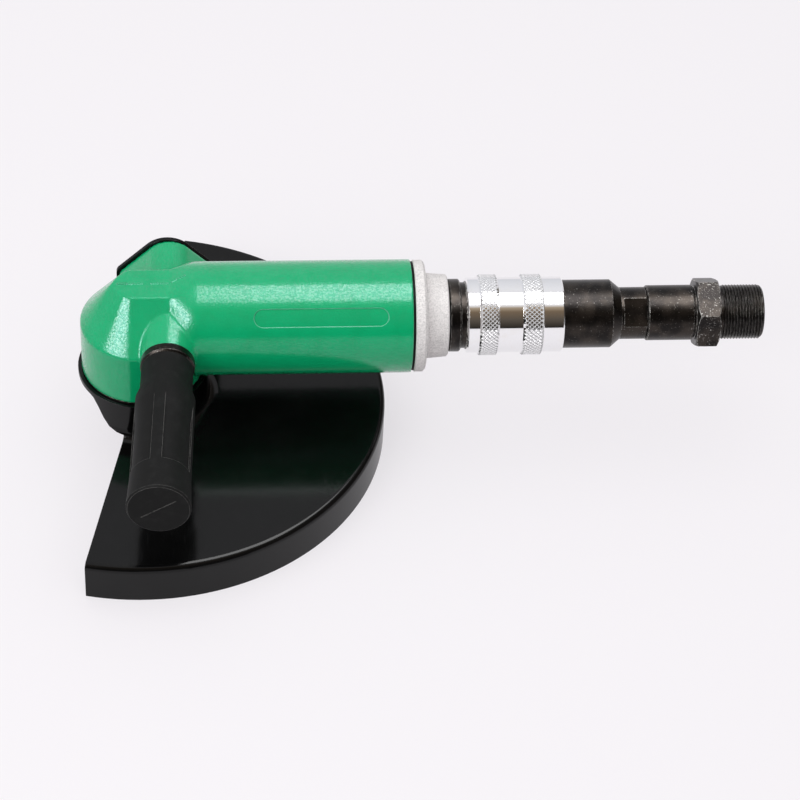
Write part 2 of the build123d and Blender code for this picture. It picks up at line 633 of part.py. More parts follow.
def valve_body():
    """Throttle valve body: a ported tube with a blind web between its two rows of ports."""
    body = turned_x((VALVE_X0, 0), (VALVE_X0, VALVE_SPIGOT_R), (VALVE_NECK_X0, VALVE_SPIGOT_R),
                    (VALVE_NECK_X0, VALVE_NECK_R - EDGE), (VALVE_NECK_X0 + EDGE, VALVE_NECK_R),
                    (VALVE_NECK_X1 - EDGE, VALVE_NECK_R), (VALVE_NECK_X1, VALVE_NECK_R - EDGE),
                    (VALVE_NECK_X1, VALVE_GROOVE_R), (VALVE_GROOVE_X1, VALVE_GROOVE_R),
                    (VALVE_GROOVE_X1, VALVE_R), (VALVE_SHOULDER_X, VALVE_R), (VALVE_TAIL_X, VALVE_TAIL_R),
                    (VALVE_X1 - EDGE, VALVE_TAIL_R), (VALVE_X1, VALVE_TAIL_R - EDGE), (VALVE_X1, 0))
    flat = Pos(0, 0, VALVE_FLATS / 2) * Box(VALVE_X1 - VALVE_FLAT_X0, 4 * VALVE_R, VALVE_R, align=OUT_AND_UP)
    for turn in (VALVE_FLAT_TURN, VALVE_FLAT_TURN + 180):
        body -= Pos(VALVE_FLAT_X0, 0, MOTOR_Z) * Rot(turn, 0, 0) * flat
    body -= rod_x(VALVE_X0, VALVE_WEB[0], VALVE_BORE_R) + rod_x(VALVE_WEB[1], VALVE_X1, VALVE_BORE_R)
    body -= rod_x(BUSH_SPIGOT_X0 - EDGE, VALVE_X1, BUSH_SPIGOT_R + SEAT)
    port = Rot(0, 90, 0) * Cylinder(PORT_R, 2 * VALVE_R, align=CENTRE_LOW)
    for x in PORT_X:
        for spot in PolarLocations(0, PORTS):
            body -= on_motor(x, spot * port)
    groove = Cylinder(VALVE_R + SPARE, O_RING_GROOVE) - Cylinder(VALVE_R - 2 * O_RING_R, O_RING_GROOVE)
    for x in O_RING_X:
        body -= on_motor(x, groove)
    return body


def sleeve_o_rings():
    """Seals between the valve body and the sleeve."""
    ring_r = VALVE_R - O_RING_R
    return group([on_motor(x, Torus(ring_r, O_RING_R - SEAT)) for x in O_RING_X])


def throttle_sleeve():
    """Bright sleeve with two knurled bands and an air chamber inside."""
    bore = VALVE_R + SLIP
    rise = KNURL_R - SLEEVE_R
    corners = [(SLEEVE_X0, bore), (SLEEVE_X0, SLEEVE_R - EDGE), (SLEEVE_X0 + EDGE, SLEEVE_R)]
    for x0, x1 in KNURL_BANDS:
        corners += [(x0 - rise, SLEEVE_R), (x0, KNURL_R), (x1, KNURL_R), (x1 + rise, SLEEVE_R)]
    corners += [(SLEEVE_X1 - EDGE, SLEEVE_R), (SLEEVE_X1, SLEEVE_R - EDGE), (SLEEVE_X1, bore)]
    x0, x1 = SLEEVE_ROOM
    corners += [(x1, bore), (x1, SLEEVE_ROOM_R), (x0, SLEEVE_ROOM_R), (x0, bore)]
    return turned_x(*corners)


def inlet_bush():
    """Hose bush: barrel, hexagon and hose thread."""
    bush = turned_x((BUSH_SPIGOT_X0, 0), (BUSH_SPIGOT_X0, BUSH_SPIGOT_R), (VALVE_X1, BUSH_SPIGOT_R),
                    (VALVE_X1, BUSH_BARREL_R - EDGE), (VALVE_X1 + EDGE, BUSH_BARREL_R),
                    (BUSH_BARREL_X1 - EDGE, BUSH_BARREL_R), (BUSH_BARREL_X1, BUSH_BARREL_R - EDGE),
                    (BUSH_BARREL_X1, BUSH_RING_R), (HEX_X1, BUSH_RING_R), (HEX_X1, THREAD_RELIEF_R),
                    (THREAD_X0, THREAD_RELIEF_R), (THREAD_X0, THREAD_R),
                    (THREAD_X1 - THREAD_CHAMFER, THREAD_R), (THREAD_X1, THREAD_R - THREAD_CHAMFER),
                    (THREAD_X1, 0))
    corner_r = HEX_FLATS / sqrt(3)
    slope = (corner_r - HEX_CHAMFER_R) * tan(radians(HEX_CHAMFER_ANGLE))
    hexagon = on_motor(HEX_X0, extrude(RegularPolygon(corner_r, 6, rotation=HEX_TURN), HEX_X1 - HEX_X0))
    hexagon &= turned_x((HEX_X0, 0), (HEX_X0, HEX_CHAMFER_R), (HEX_X0 + slope, corner_r),
                        (HEX_X1 - slope, corner_r), (HEX_X1, HEX_CHAMFER_R), (HEX_X1, 0))
    bush += hexagon
    bush -= rod_x(BUSH_SPIGOT_X0, BUSH_NECK_X1, BUSH_NECK_R)
    return bush - rod_x(BUSH_NECK_X1, THREAD_X1, HOSE_BORE_R)


def inlet_strainer():
    """Cup strainer that stands on the step inside the hose bush."""
    cup = rod_x(BUSH_NECK_X1, STRAINER_X1, STRAINER_R)
    cup -= rod_x(BUSH_NECK_X1, STRAINER_X1 - STRAINER_WALL, STRAINER_R - STRAINER_WALL)
    hole = Rot(0, 90, 0) * Cylinder(STRAINER_HOLE_R, 4 * STRAINER_R)
    for row in range(1, STRAINER_ROWS + 1):
        for spot in PolarLocations(0, STRAINER_HOLES, row * 90 / STRAINER_HOLES):
            cup -= on_motor(BUSH_NECK_X1 + row * STRAINER_PITCH, spot * hole)
    return cup


def spindle():
    """Wheel spindle with its M14 nose."""
    bearing_top = LOWER_BEARING_Z + LOWER_BEARING[2]
    groove_r = GEAR_SEAT_R - CIRCLIP_SINK
    groove_top = CIRCLIP_Z + CIRCLIP_THICK
    return turned_z((0, SPINDLE_TIP_Z), (THREAD_M14_R - SPARE, SPINDLE_TIP_Z),
                    (THREAD_M14_R, SPINDLE_TIP_Z + SPARE), (THREAD_M14_R, -PILOT_LENGTH),
                    (SPINDLE_R, -PILOT_LENGTH), (SPINDLE_R, bearing_top), (SHAFT_COLLAR_R, bearing_top),
                    (SHAFT_COLLAR_R, GEAR_SEAT_Z0), (GEAR_SEAT_R, GEAR_SEAT_Z0),
                    (GEAR_SEAT_R, CIRCLIP_Z), (groove_r, CIRCLIP_Z), (groove_r, groove_top),
                    (GEAR_SEAT_R, groove_top), (GEAR_SEAT_R, groove_top + SPARE),
                    (NEEDLE_JOURNAL_R, NEEDLE_Z[0] - SPARE), (NEEDLE_JOURNAL_R, SPINDLE_TOP_Z),
                    (0, SPINDLE_TOP_Z))


def inner_flange():
    """Wheel flange with its seat at the origin and a pilot for the wheel bore."""
    bore = SPINDLE_R + SEAT
    return turned_z((bore, -PILOT_LENGTH), (PILOT_R, -PILOT_LENGTH), (PILOT_R, 0), (FLANGE_R, 0),
                    (FLANGE_R, FLANGE_THICK - EDGE), (FLANGE_R - EDGE, FLANGE_THICK),
                    (FLANGE_HUB_R, FLANGE_THICK), (FLANGE_HUB_R, LOWER_BEARING_Z - SEAT),
                    (bore, LOWER_BEARING_Z - SEAT))


def bevel_blank(pitch_r, mate_r, bore_r, back_z, hub_r):
    """Toothless bevel gear: apex at the origin, axis along +Z away from the apex."""
    cone = hypot(pitch_r, mate_r)
    out_r, out_z = pitch_r - DEDENDUM * mate_r / cone, mate_r + DEDENDUM * pitch_r / cone
    inner = (cone - FACE_WIDTH) / cone
    return turned_z((bore_r, inner * out_z), (inner * out_r, inner * out_z), (out_r, out_z),
                    (hub_r, back_z), (bore_r, back_z))


def bevel_tooth(pitch_r, mate_r):
    """One straight bevel tooth at heading 0, tapering to the apex at the origin."""
    cone = hypot(pitch_r, mate_r)
    along = Vector(pitch_r, 0, mate_r) / cone
    rise = Vector(mate_r, 0, -pitch_r) / cone
    flare = tan(radians(FLANK_ANGLE))
    ends = []
    for scale in (1.0, (cone - FACE_WIDTH) / cone):
        corners = []
        root = -DEDENDUM - TOOTH_ROOT_SINK
        for height, side in ((root, -1), (root, 1), (ADDENDUM, 1), (ADDENDUM, -1)):
            half = TOOTH_THICK / 2 - height * flare
            corners.append((along * cone + rise * height + Vector(0, side * half, 0)) * scale)
        ends.append(make_face(Polyline(*corners, close=True)))
    return loft(ends, ruled=True)


def bevel_gear_on_z(teeth, pitch_r, mate_r, bore_r, back_z, hub_r, first_tooth):
    """Whole bevel gear with its apex at the origin and its axis along +Z."""
    gear = bevel_blank(pitch_r, mate_r, bore_r, back_z, hub_r)
    tooth = bevel_tooth(pitch_r, mate_r)
    return gear + [Rot(0, 0, first_tooth + number * 360 / teeth) * tooth for number in range(teeth)]


def bevel_gear():
    """Crown gear on the spindle, with a tooth gap facing the pinion."""
    gear = bevel_gear_on_z(GEAR_TEETH, GEAR_PITCH_R, PINION_PITCH_R, GEAR_SEAT_R + SEAT,
                           MOTOR_Z - GEAR_SEAT_Z0, GEAR_HUB_R, 180 / GEAR_TEETH)
    return Pos(0, 0, MOTOR_Z) * Rot(180, 0, 0) * gear


def bevel_pinion():
    """Pinion on the rotor shaft, with a tooth pointing down into the crown gear."""
    pinion = bevel_gear_on_z(PINION_TEETH, PINION_PITCH_R, GEAR_PITCH_R, PINION_BORE_R + SEAT,
                             FRONT_BEARING_X - EDGE, PINION_HUB_R, 0)
    return on_motor(0, pinion)


def gear_circlip():
    """Open ring that keeps the crown gear on its seat."""
    low, high = CIRCLIP_Z + SEAT, CIRCLIP_Z + CIRCLIP_THICK - SEAT
    ring = rod_z(low, high, GEAR_SEAT_R + CIRCLIP_RISE) - rod_z(low, high, GEAR_SEAT_R - CIRCLIP_SINK + SEAT)
    return ring - Pos(0, -GEAR_SEAT_R, low) * Box(CIRCLIP_GAP, GEAR_SEAT_R, GEAR_SEAT_R)


def needle_set():
    """Needles of the upper spindle bearing."""
    low, high = NEEDLE_Z
    length = high - low - 2 * NEEDLE_END_GAP
    needle = Pos(0, 0, low + NEEDLE_END_GAP) * Cylinder(NEEDLE_R, length, align=CENTRE_LOW)
    return group([spot * needle for spot in PolarLocations(NEEDLE_JOURNAL_R + NEEDLE_R + SEAT, NEEDLES)])


def needle_shell():
    """Drawn cup of the upper spindle bearing."""
    low, high = NEEDLE_Z
    inner = NEEDLE_JOURNAL_R + 2 * NEEDLE_R + SLIP
    return rod_z(low, high, NEEDLE_SHELL_R - SEAT) - rod_z(low, high, inner)


def front_end_plate():
    """Front wall of the air motor."""
    return rod_x(*FRONT_PLATE_X, MOTOR_FIT_R) - rod_x(*FRONT_PLATE_X, ROTOR_FRONT_R + SHAFT_ROOM)


def motor_cylinder():
    """Air motor cylinder with an offset bore and exhaust slots."""
    x0, x1 = CYLINDER_X
    cylinder = rod_x(x0, x1, MOTOR_FIT_R) - Pos(0, 0, -CYLINDER_OFFSET) * rod_x(x0, x1, CYLINDER_BORE_R)
    pitch = (x1 - x0) / (SLOTS + 1)
    for number in range(SLOTS):
        cylinder -= Pos(x0 + pitch * (number + 1), 0, MOTOR_Z - BODY_BORE_R) * Box(*SLOT_SIZE)
    return cylinder


def rear_end_plate():
    """Rear wall of the air motor with the pocket of the rear bearing and the air ports."""
    plate = rod_x(*REAR_PLATE_X, MOTOR_FIT_R) - rod_x(REAR_BEARING_X, REAR_PLATE_X[1], REAR_BEARING[1] / 2)
    plate -= rod_x(*REAR_PLATE_X, ROTOR_REAR_R + SHAFT_ROOM)
    for spot in PolarLocations(AIR_PORT_PITCH, AIR_PORTS, 0, AIR_PORT_SPREAD):
        plate -= on_motor(REAR_PLATE_X[0], spot * Cylinder(AIR_PORT_R, 4 * AIR_PORT_PITCH))
    return plate


def rotor_span():
    """Where the rotor barrel starts and ends along the motor axis."""
    return CYLINDER_X[0] + ROTOR_END_GAP, CYLINDER_X[1] - ROTOR_END_GAP


def rotor():
    """Rotor with its shaft and vane slots."""
    x0, x1 = rotor_span()
    step = FRONT_BEARING_X - EDGE
    body = turned_x((PINION_FACE_X, 0), (PINION_FACE_X, PINION_BORE_R), (step, PINION_BORE_R),
                    (step, ROTOR_FRONT_R), (x0, ROTOR_FRONT_R), (x0, ROTOR_R), (x1, ROTOR_R),
                    (x1, ROTOR_REAR_R), (ROTOR_X1, ROTOR_REAR_R), (ROTOR_X1, 0))
    slot = Box(x1 - x0, VANE_THICK + 2 * SLIP, 2 * VANE_DEPTH, align=OUT_AND_UP)
    slot = Pos(x0, 0, ROTOR_R - VANE_DEPTH) * slot
    for number in range(VANES):
        body -= Pos(0, 0, MOTOR_Z) * Rot(number * 360 / VANES, 0, 0) * slot
    return body


def rotor_vanes():
    """Vanes at the bottom of their slots."""
    x0, x1 = rotor_span()
    vane = Box(x1 - x0, VANE_THICK, VANE_DEPTH, align=OUT_AND_UP)
    vane = Pos(x0, 0, ROTOR_R - VANE_DEPTH + SEAT) * vane
    return group([Pos(0, 0, MOTOR_Z) * Rot(number * 360 / VANES, 0, 0) * vane for number in range(VANES)])


def rotor_nut():
    """Lock nut behind the rear bearing."""
    nut = on_motor(REAR_PLATE_X[1], extrude(RegularPolygon(ROTOR_NUT_R, 6), ROTOR_NUT_THICK))
    return nut - rod_x(REAR_PLATE_X[1], ROTOR_X1, ROTOR_REAR_R + SEAT)


def bearings():
    """Every ball bearing as outer ring, inner ring and balls."""
    nodes = {}
    places = {"lower_bearing": (LOWER_BEARING, Pos(0, 0, LOWER_BEARING_Z)),
              "front_bearing": (FRONT_BEARING, Pos(FRONT_BEARING_X, 0, MOTOR_Z) * Rot(0, 90, 0)),
              "rear_bearing": (REAR_BEARING, Pos(REAR_BEARING_X, 0, MOTOR_Z) * Rot(0, 90, 0))}
    for name, (sizes, place) in places.items():
        outer, inner, ball_set = ball_bearing(*sizes)
        nodes[name + "_outer_ring"] = place * outer
        nodes[name + "_inner_ring"] = place * inner
        nodes[name + "_balls"] = place * ball_set
    return nodes


PIECES = (motor_housing, side_cover, side_cover_screws, bearing_cap, bearing_cap_screws, bearing_retainer,
          spindle_seal, needle_shell, front_end_plate, motor_cylinder, rear_end_plate, exhaust_ring,
          exhaust_collar, valve_body, sleeve_o_rings, inlet_bush, inlet_strainer, handle_stud, handle_collar,
          handle_grip, throttle_sleeve, guard, guard_clamp_screw, guard_clamp_nut, spindle, inner_flange,
          bevel_gear, gear_circlip, needle_set, rotor, rotor_vanes, bevel_pinion, rotor_nut)


def write_nodes():
    """Build every piece and write one file per node, named for the function that builds it."""
    nodes = {build.__name__: build() for build in PIECES}
    nodes.update(bearings())
    os.makedirs("parts", exist_ok=True)
    for name, piece in nodes.items():
        export_step(piece, f"parts/{name}.step")


write_nodes()
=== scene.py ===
"""Looks of an air angle grinder: pieces modelled over its CAD frame, finishes, studio and camera."""

import json
import logging
import math
from abc import ABC, abstractmethod
from contextlib import contextmanager
from dataclasses import dataclass, field
from enum import Enum
from typing import Any, Callable, ClassVar, Iterator, Sequence

import bmesh
import bpy
from mathutils import Matrix, Quaternion, Vector


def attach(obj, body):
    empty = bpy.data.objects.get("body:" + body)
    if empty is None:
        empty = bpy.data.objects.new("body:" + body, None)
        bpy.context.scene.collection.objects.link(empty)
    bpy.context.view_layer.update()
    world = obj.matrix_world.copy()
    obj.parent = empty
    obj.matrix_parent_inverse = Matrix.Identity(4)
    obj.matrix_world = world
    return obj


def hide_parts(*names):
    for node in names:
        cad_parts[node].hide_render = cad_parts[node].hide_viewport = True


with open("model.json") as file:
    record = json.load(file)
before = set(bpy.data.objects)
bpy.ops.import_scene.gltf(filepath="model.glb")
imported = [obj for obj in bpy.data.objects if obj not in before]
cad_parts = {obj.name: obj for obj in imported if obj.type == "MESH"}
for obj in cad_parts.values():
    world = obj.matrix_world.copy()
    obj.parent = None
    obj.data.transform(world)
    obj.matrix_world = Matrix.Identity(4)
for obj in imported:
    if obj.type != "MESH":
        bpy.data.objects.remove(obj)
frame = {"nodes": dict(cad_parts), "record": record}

LOG = logging.getLogger("grinder")
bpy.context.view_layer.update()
MM = 0.001
MOTOR_Z = 59.0
"""Height of the motor axis over the wheel seat, in millimetres."""
FULL_TURN = 2 * math.pi
HAIR = 1e-6
"""A length too short to matter, in metres."""
MERGE = 2e-6
"""Points nearer to each other than this are one, in metres."""

Colour = tuple[float, float, float]
Point = tuple[float, float, float]
Pair = tuple[float, float]
Pairs = tuple[Pair, ...]
Piece = bpy.types.Object


class Part(Enum):
    """What an edit-mode selection is made of."""

    VERTEX = "VERT"
    EDGE = "EDGE"
    FACE = "FACE"


class Join(Enum):
    """How a Boolean modifier treats its second shape."""

    ADD = "UNION"
    CUT = "DIFFERENCE"
    KEEP = "INTERSECT"


class Axis(Enum):
    """Line that a piece is turned on: a point on it in millimetres, and its direction."""

    MOTOR = ((0.0, 0.0, MOTOR_Z), (1.0, 0.0, 0.0))
    SPINDLE = ((0.0, 0.0, 0.0), (0.0, 0.0, 1.0))

    def place(self, along: float, radius: float) -> Point:
        """Point of a turned profile, in millimetres.

        Args:
            along: Distance along the line.
            radius: Distance from the line.

        Returns:
            The point in the half plane that profiles are drawn in.
        """
        if self is Axis.MOTOR:
            return (along, 0.0, MOTOR_Z + radius)
        return (radius, 0.0, along)


def metres(point: Sequence[float]) -> Vector:
    """A point given in millimetres, in metres."""
    return Vector(point) * MM


class Bench:
    """Modelling operators, each used on one piece at a time."""

    @staticmethod
    def clear() -> None:
        """Deselect everything."""
        bpy.ops.object.select_all(action="DESELECT")

    @staticmethod
    def take(name: str) -> Piece:
        """Name the primitive that was just added, and put its place into its mesh.

        Args:
            name: Name of the piece.

        Returns:
            The piece, at the origin, unturned and unscaled.
        """
        piece = bpy.context.object
        piece.name = piece.data.name = name
        bpy.ops.object.transform_apply(location=True, rotation=True, scale=True)
        return piece

    @staticmethod
    def focus(piece: Piece) -> None:
        """Make a piece the only one that operators act on.

        Args:
            piece: The piece.
        """
        Bench.clear()
        piece.select_set(True)
        bpy.context.view_layer.objects.active = piece

    @staticmethod
    @contextmanager
    def editing(piece: Piece) -> Iterator[None]:
        """Edit mode on a piece, with the whole of it selected at first.

        Args:
            piece: The piece to edit.

        Yields:
            Nothing; the piece is in edit mode meanwhile.
        """
        Bench.focus(piece)
        bpy.ops.object.mode_set(mode="EDIT")
        bpy.ops.mesh.select_mode(type=Part.VERTEX.value)
        bpy.ops.mesh.select_all(action="SELECT")
        yield
        bpy.ops.object.mode_set(mode="OBJECT")

    @staticmethod
    def pick(piece: Piece, part: Part, test: Callable[[Any], bool]) -> None:
        """Select what passes a test, and nothing else.

        Args:
            piece: The piece in edit mode.
            part: What the test looks at.
            test: Takes a mesh element and says whether it is selected.
        """
        bpy.ops.mesh.select_mode(type=part.value)
        bpy.ops.mesh.select_all(action="DESELECT")
        mesh = bmesh.from_edit_mesh(piece.data)
        for element in {Part.VERTEX: mesh.verts, Part.EDGE: mesh.edges, Part.FACE: mesh.faces}[part]:
            if test(element):
                element.select_set(True)
        mesh.select_flush_mode()
        bmesh.update_edit_mesh(piece.data)

    @staticmethod
    def wire(name: str, points: Sequence[Point]) -> Piece:
        """A chain of edges, drawn point by point.

        Args:
            name: Name of the piece.
            points: The points in millimetres; the last may repeat the first.

        Returns:
            The wire.
        """
        Bench.clear()
        places = [metres(point) for point in points]
        bpy.ops.mesh.primitive_plane_add(size=MM, location=places[0])
        piece = Bench.take(name)
        with Bench.editing(piece):
            bpy.ops.mesh.merge(type="CENTER")
            for before, after in zip(places, places[1:]):
                bpy.ops.mesh.extrude_region_move(TRANSFORM_OT_translate={"value": after - before})
        return piece

    @staticmethod
    def turned(name: str, axis: Axis, profile: Sequence[Pair], steps: int = 128) -> Piece:
        """A body turned on an axis.

        Args:
            name: Name of the piece.
            axis: The line it is turned on.
            profile: Corners as (distance along it, radius) in millimetres; a ring, or ending on the axis.
            steps: Segments around.

        Returns:
            The closed body.
        """
        piece = Bench.wire(name, [axis.place(along, radius) for along, radius in profile])
        centre, direction = axis.value
        with Bench.editing(piece):
            bpy.ops.mesh.spin(steps=steps, angle=FULL_TURN, center=metres(centre), axis=direction)
            Bench.heal()
        return piece

    @staticmethod
    def heal() -> None:
        """Merge doubled points of the piece in edit mode and point its faces outwards."""
        bpy.ops.mesh.select_all(action="SELECT")
        bpy.ops.mesh.remove_doubles(threshold=MERGE)
        bpy.ops.mesh.normals_make_consistent(inside=False)

    @staticmethod
    def rod(name: str, start: Sequence[float], along: Sequence[float], radius: float, length: float,
            end_radius: float | None = None, sides: int = 64, twist: float = 0.0) -> Piece:
        """A straight rod, cone or prism.

        Args:
            name: Name of the piece.
            start: Centre of its first end, in millimetres.
            along: Direction towards the other end.
            radius: Radius at the first end.
            length: Its length.
            end_radius: Radius at the other end, where that differs.
            sides: Segments around.
            twist: Turn on its own axis, in degrees.

        Returns:
            The closed rod.
        """
        Bench.clear()
        direction = Vector(along).normalized()
        own = Quaternion((0, 0, 1), math.radians(twist))
        turn = (direction.to_track_quat("Z", "Y") @ own).to_euler()
        middle = metres(start) + direction * length * MM / 2
        last = radius if end_radius is None else end_radius
        bpy.ops.mesh.primitive_cone_add(vertices=sides, radius1=radius * MM, radius2=last * MM,
                                        depth=length * MM, location=middle, rotation=turn)
        return Bench.take(name)

    @staticmethod
    def block(name: str, low: Point, high: Point) -> Piece:
        """A box.

        Args:
            name: Name of the piece.
            low: Its lowest corner, in millimetres.
            high: The corner across from it.

        Returns:
            The box.
        """
        Bench.clear()
        bottom, top = metres(low), metres(high)
        bpy.ops.mesh.primitive_cube_add(size=1, location=(bottom + top) / 2, scale=top - bottom)
        return Bench.take(name)

    @staticmethod
    def slice(piece: Piece, point: Sequence[float], outwards: Sequence[float]) -> None:
        """Cut off what lies beyond a plane and close the cut.

        Args:
            piece: The piece to cut.
            point: A point of the plane, in millimetres.
            outwards: Normal of the plane, towards what goes.
        """
        with Bench.editing(piece):
            bpy.ops.mesh.bisect(plane_co=metres(point), plane_no=outwards, use_fill=True, clear_outer=True,
                                threshold=0.0001 * MM)

    @staticmethod
    def apply(piece: Piece, kind: str, **settings: Any) -> None:
        """Add a modifier and apply it.

        Args:
            piece: The piece it works on.
            kind: Type of the modifier.
            settings: Its settings.
        """
        Bench.focus(piece)
        modifier = piece.modifiers.new(kind.lower(), kind)
        for name, value in settings.items():
            setattr(modifier, name, value)
        bpy.ops.object.modifier_apply(modifier=modifier.name)

    @staticmethod
    def combine(piece: Piece, other: Piece, how: Join) -> None:
        """Add, cut or keep what another shape covers, and use that shape up."""
        Bench.apply(piece, "BOOLEAN", object=other, operation=how.value, solver="EXACT")
        bpy.data.objects.remove(other)

    @staticmethod
    def gather(name: str, pieces: Sequence[Piece]) -> Piece:
        """Join several meshes into one object.

        Args:
            name: Name of the result.
            pieces: The meshes.

        Returns:
            The joined object.
        """
        Bench.focus(pieces[0])
        for piece in pieces:
            piece.select_set(True)
        bpy.ops.object.join()
        pieces[0].name = pieces[0].data.name = name
        return pieces[0]

    @staticmethod
    def hull(name: str, pieces: Sequence[Piece]) -> Piece:
        """Stretch a skin over several shapes.

        Args:
            name: Name of the result.
            pieces: The shapes, which are used up.

        Returns:
            The convex body around them.
        """
        body = Bench.gather(name, pieces)
        with Bench.editing(body):
            bpy.ops.mesh.delete(type="EDGE_FACE")
            bpy.ops.mesh.select_all(action="SELECT")
            bpy.ops.mesh.convex_hull()
            Bench.heal()
        return body

    @staticmethod
    def shade(piece: Piece, angle: float) -> None:
        """Shade a piece smooth, except across edges sharper than an angle in degrees."""
        Bench.focus(piece)
        bpy.ops.object.shade_smooth_by_angle(angle=math.radians(angle))


class Wire:
    """A shader value that takes part in arithmetic."""

    def __init__(self, graph: "Graph", socket: bpy.types.NodeSocket) -> None:
        """Wrap an output socket of a graph's node."""
        self.graph = graph
        self.socket = socket

    def _math(self, operation: str, first: Any, second: Any) -> "Wire":
        """A Math node on two values."""
        return self.graph.node("ShaderNodeMath", {"operation": operation}, {0: first, 1: second})

    def __add__(self, other: Any) -> "Wire":
        """Sum."""
        return self._math("ADD", self, other)

    def __sub__(self, other: Any) -> "Wire":
        """Difference."""
        return self._math("SUBTRACT", self, other)

    def __rsub__(self, other: Any) -> "Wire":
        """Difference with a number first."""
        return self._math("SUBTRACT", other, self)

    def __mul__(self, other: Any) -> "Wire":
        """Product."""
        return self._math("MULTIPLY", self, other)

    __radd__ = __add__
    __rmul__ = __mul__

    def step(self, low: float, high: float) -> "Wire":
        """Smooth rise from 0 to 1.

        Args:
            low: Value at which it starts.
            high: Value at which it ends; below low, it falls instead.

        Returns:
            The rise.
        """
        if low < high:
            return self.graph.node("ShaderNodeMapRange", {"interpolation_type": "SMOOTHSTEP"},
                                   {"Value": self, "From Min": low, "From Max": high})
        return 1 - self.step(high, low)


class Graph:
    """Node tree of a material or of the world."""

    def __init__(self, tree: bpy.types.NodeTree) -> None:
        """Start from an empty tree."""
        self.tree = tree
        tree.nodes.clear()

    def node(self, kind: str, settings: dict[str, Any] | None = None,
             sockets: dict[int | str, Any] | None = None, out: int | str = 0) -> Wire:
        """Add a node.

        Args:
            kind: Type of the node.
            settings: Its properties, set first.
            sockets: Values or wires of its inputs.
            out: The output that is wanted.

        Returns:
            That output.
        """
        node = self.tree.nodes.new(kind)
        for name, value in (settings or {}).items():
            setattr(node, name, value)
        for name, value in (sockets or {}).items():
            if isinstance(value, Wire):
                self.tree.links.new(value.socket, node.inputs[name])
            elif value is not None:
                wanted = node.inputs[name]
                wanted.default_value = (*value, 1.0) if wanted.type == "RGBA" and len(value) == 3 else value
        return Wire(self, node.outputs[out] if node.outputs else None)

    def place(self, stretch: Point = (1.0, 1.0, 1.0)) -> Wire:
        """Object coordinates.

        Args:
            stretch: Factor along each axis; a small one draws a pattern out along it.

        Returns:
            The coordinates.
        """
        here = self.node("ShaderNodeTexCoord", out="Object")
        if stretch == (1.0, 1.0, 1.0):
            return here
        return self.node("ShaderNodeMapping", sockets={"Vector": here, "Scale": stretch})

    def noise(self, size: float, detail: float = 2.0, roughness: float = 0.5,
              stretch: Point = (1.0, 1.0, 1.0)) -> Wire:
        """Cloudy pattern around 0.5: size of its spots in millimetres, octaves, share of the finer ones."""
        sockets = {"Scale": 1 / (size * MM), "Detail": detail, "Roughness": roughness}
        return self.node("ShaderNodeTexNoise", sockets={"Vector": self.place(stretch), **sockets})

    def blend(self, share: Any, first: Any, second: Any) -> Wire:
        """Mix of two colours, by the share of the second."""
        return self.node("ShaderNodeMix", {"data_type": "RGBA"}, {0: share, 6: first, 7: second}, out=2)

    def vector(self, operation: str, first: Wire, second: Any = None, out: int | str = 0) -> Wire:
        """A Vector Math node on one or two vectors."""
        return self.node("ShaderNodeVectorMath", {"operation": operation}, {0: first, 1: second}, out)

    def along(self, axis: str) -> Wire:
        """One of the object coordinates, in metres."""
        return self.node("ShaderNodeSeparateXYZ", sockets={"Vector": self.place()}, out=axis)

    def beyond(self, span: Pair) -> Wire:
        """Rise along X from 0 to 1 between two places in millimetres; in reverse order, it falls."""
        start, end = span
        return self.along("X").step(start * MM, end * MM)

    def reach(self, axis: Axis) -> Wire:
        """Distance from a line.

        Args:
            axis: The line.

        Returns:
            The distance in metres.
        """
        centre, direction = axis.value
        spread = tuple(1.0 - share for share in direction)
        here = self.vector("SUBTRACT", self.place(), metres(centre))
        return self.vector("LENGTH", self.vector("MULTIPLY", here, spread), out="Value")

    def ramp(self, value: Wire, stops: Sequence[tuple[float, Colour]]) -> Wire:
        """Colour that changes with a value.

        Args:
            value: The value.
            stops: At least two values in rising order, from 0 to 1, with their colours.

        Returns:
            The colour.
        """
        ramp = self.node("ShaderNodeValToRGB", sockets={"Fac": value})
        elements = ramp.socket.node.color_ramp.elements
        for number, (place, colour) in enumerate(stops):
            element = elements[number] if number < len(elements) else elements.new(1.0)
            element.position, element.color = place, (*colour, 1.0)
        return ramp

    def rounded(self, radius: float) -> Wire:
        """Normal that rounds sharp edges, with a radius in millimetres."""
        return self.node("ShaderNodeBevel", {"samples": 6}, {"Radius": radius * MM})

    def edges(self, normal: Wire, gain: float) -> Wire:
        """How near a sharp edge is.

        Args:
            normal: Rounded normal.
            gain: How strongly it counts.

        Returns:
            0 on flat ground, up to 1 at an edge.
        """
        flat = self.node("ShaderNodeNewGeometry", out="Normal")
        agreement = self.vector("DOT_PRODUCT", normal, flat, out="Value")
        return ((1 - agreement) * gain).step(0.0, 1.0)

    def bump(self, height: Wire, depth: float, normal: Wire | None = None) -> Wire:
        """Normal of a relief from 0 to 1, with a depth in millimetres, that stands on another normal."""
        sockets = {"Height": height, "Distance": depth * MM, "Normal": normal}
        return self.node("ShaderNodeBump", sockets=sockets)

    def surface(self, **sockets: Any) -> None:
        """Principled surface as the material's output.

        Args:
            sockets: Its inputs, with underscores for the spaces in their names.
        """
        named = {name.replace("_", " "): value for name, value in sockets.items()}
        shader = self.node("ShaderNodeBsdfPrincipled", sockets=named)
        self.node("ShaderNodeOutputMaterial", sockets={"Surface": shader})


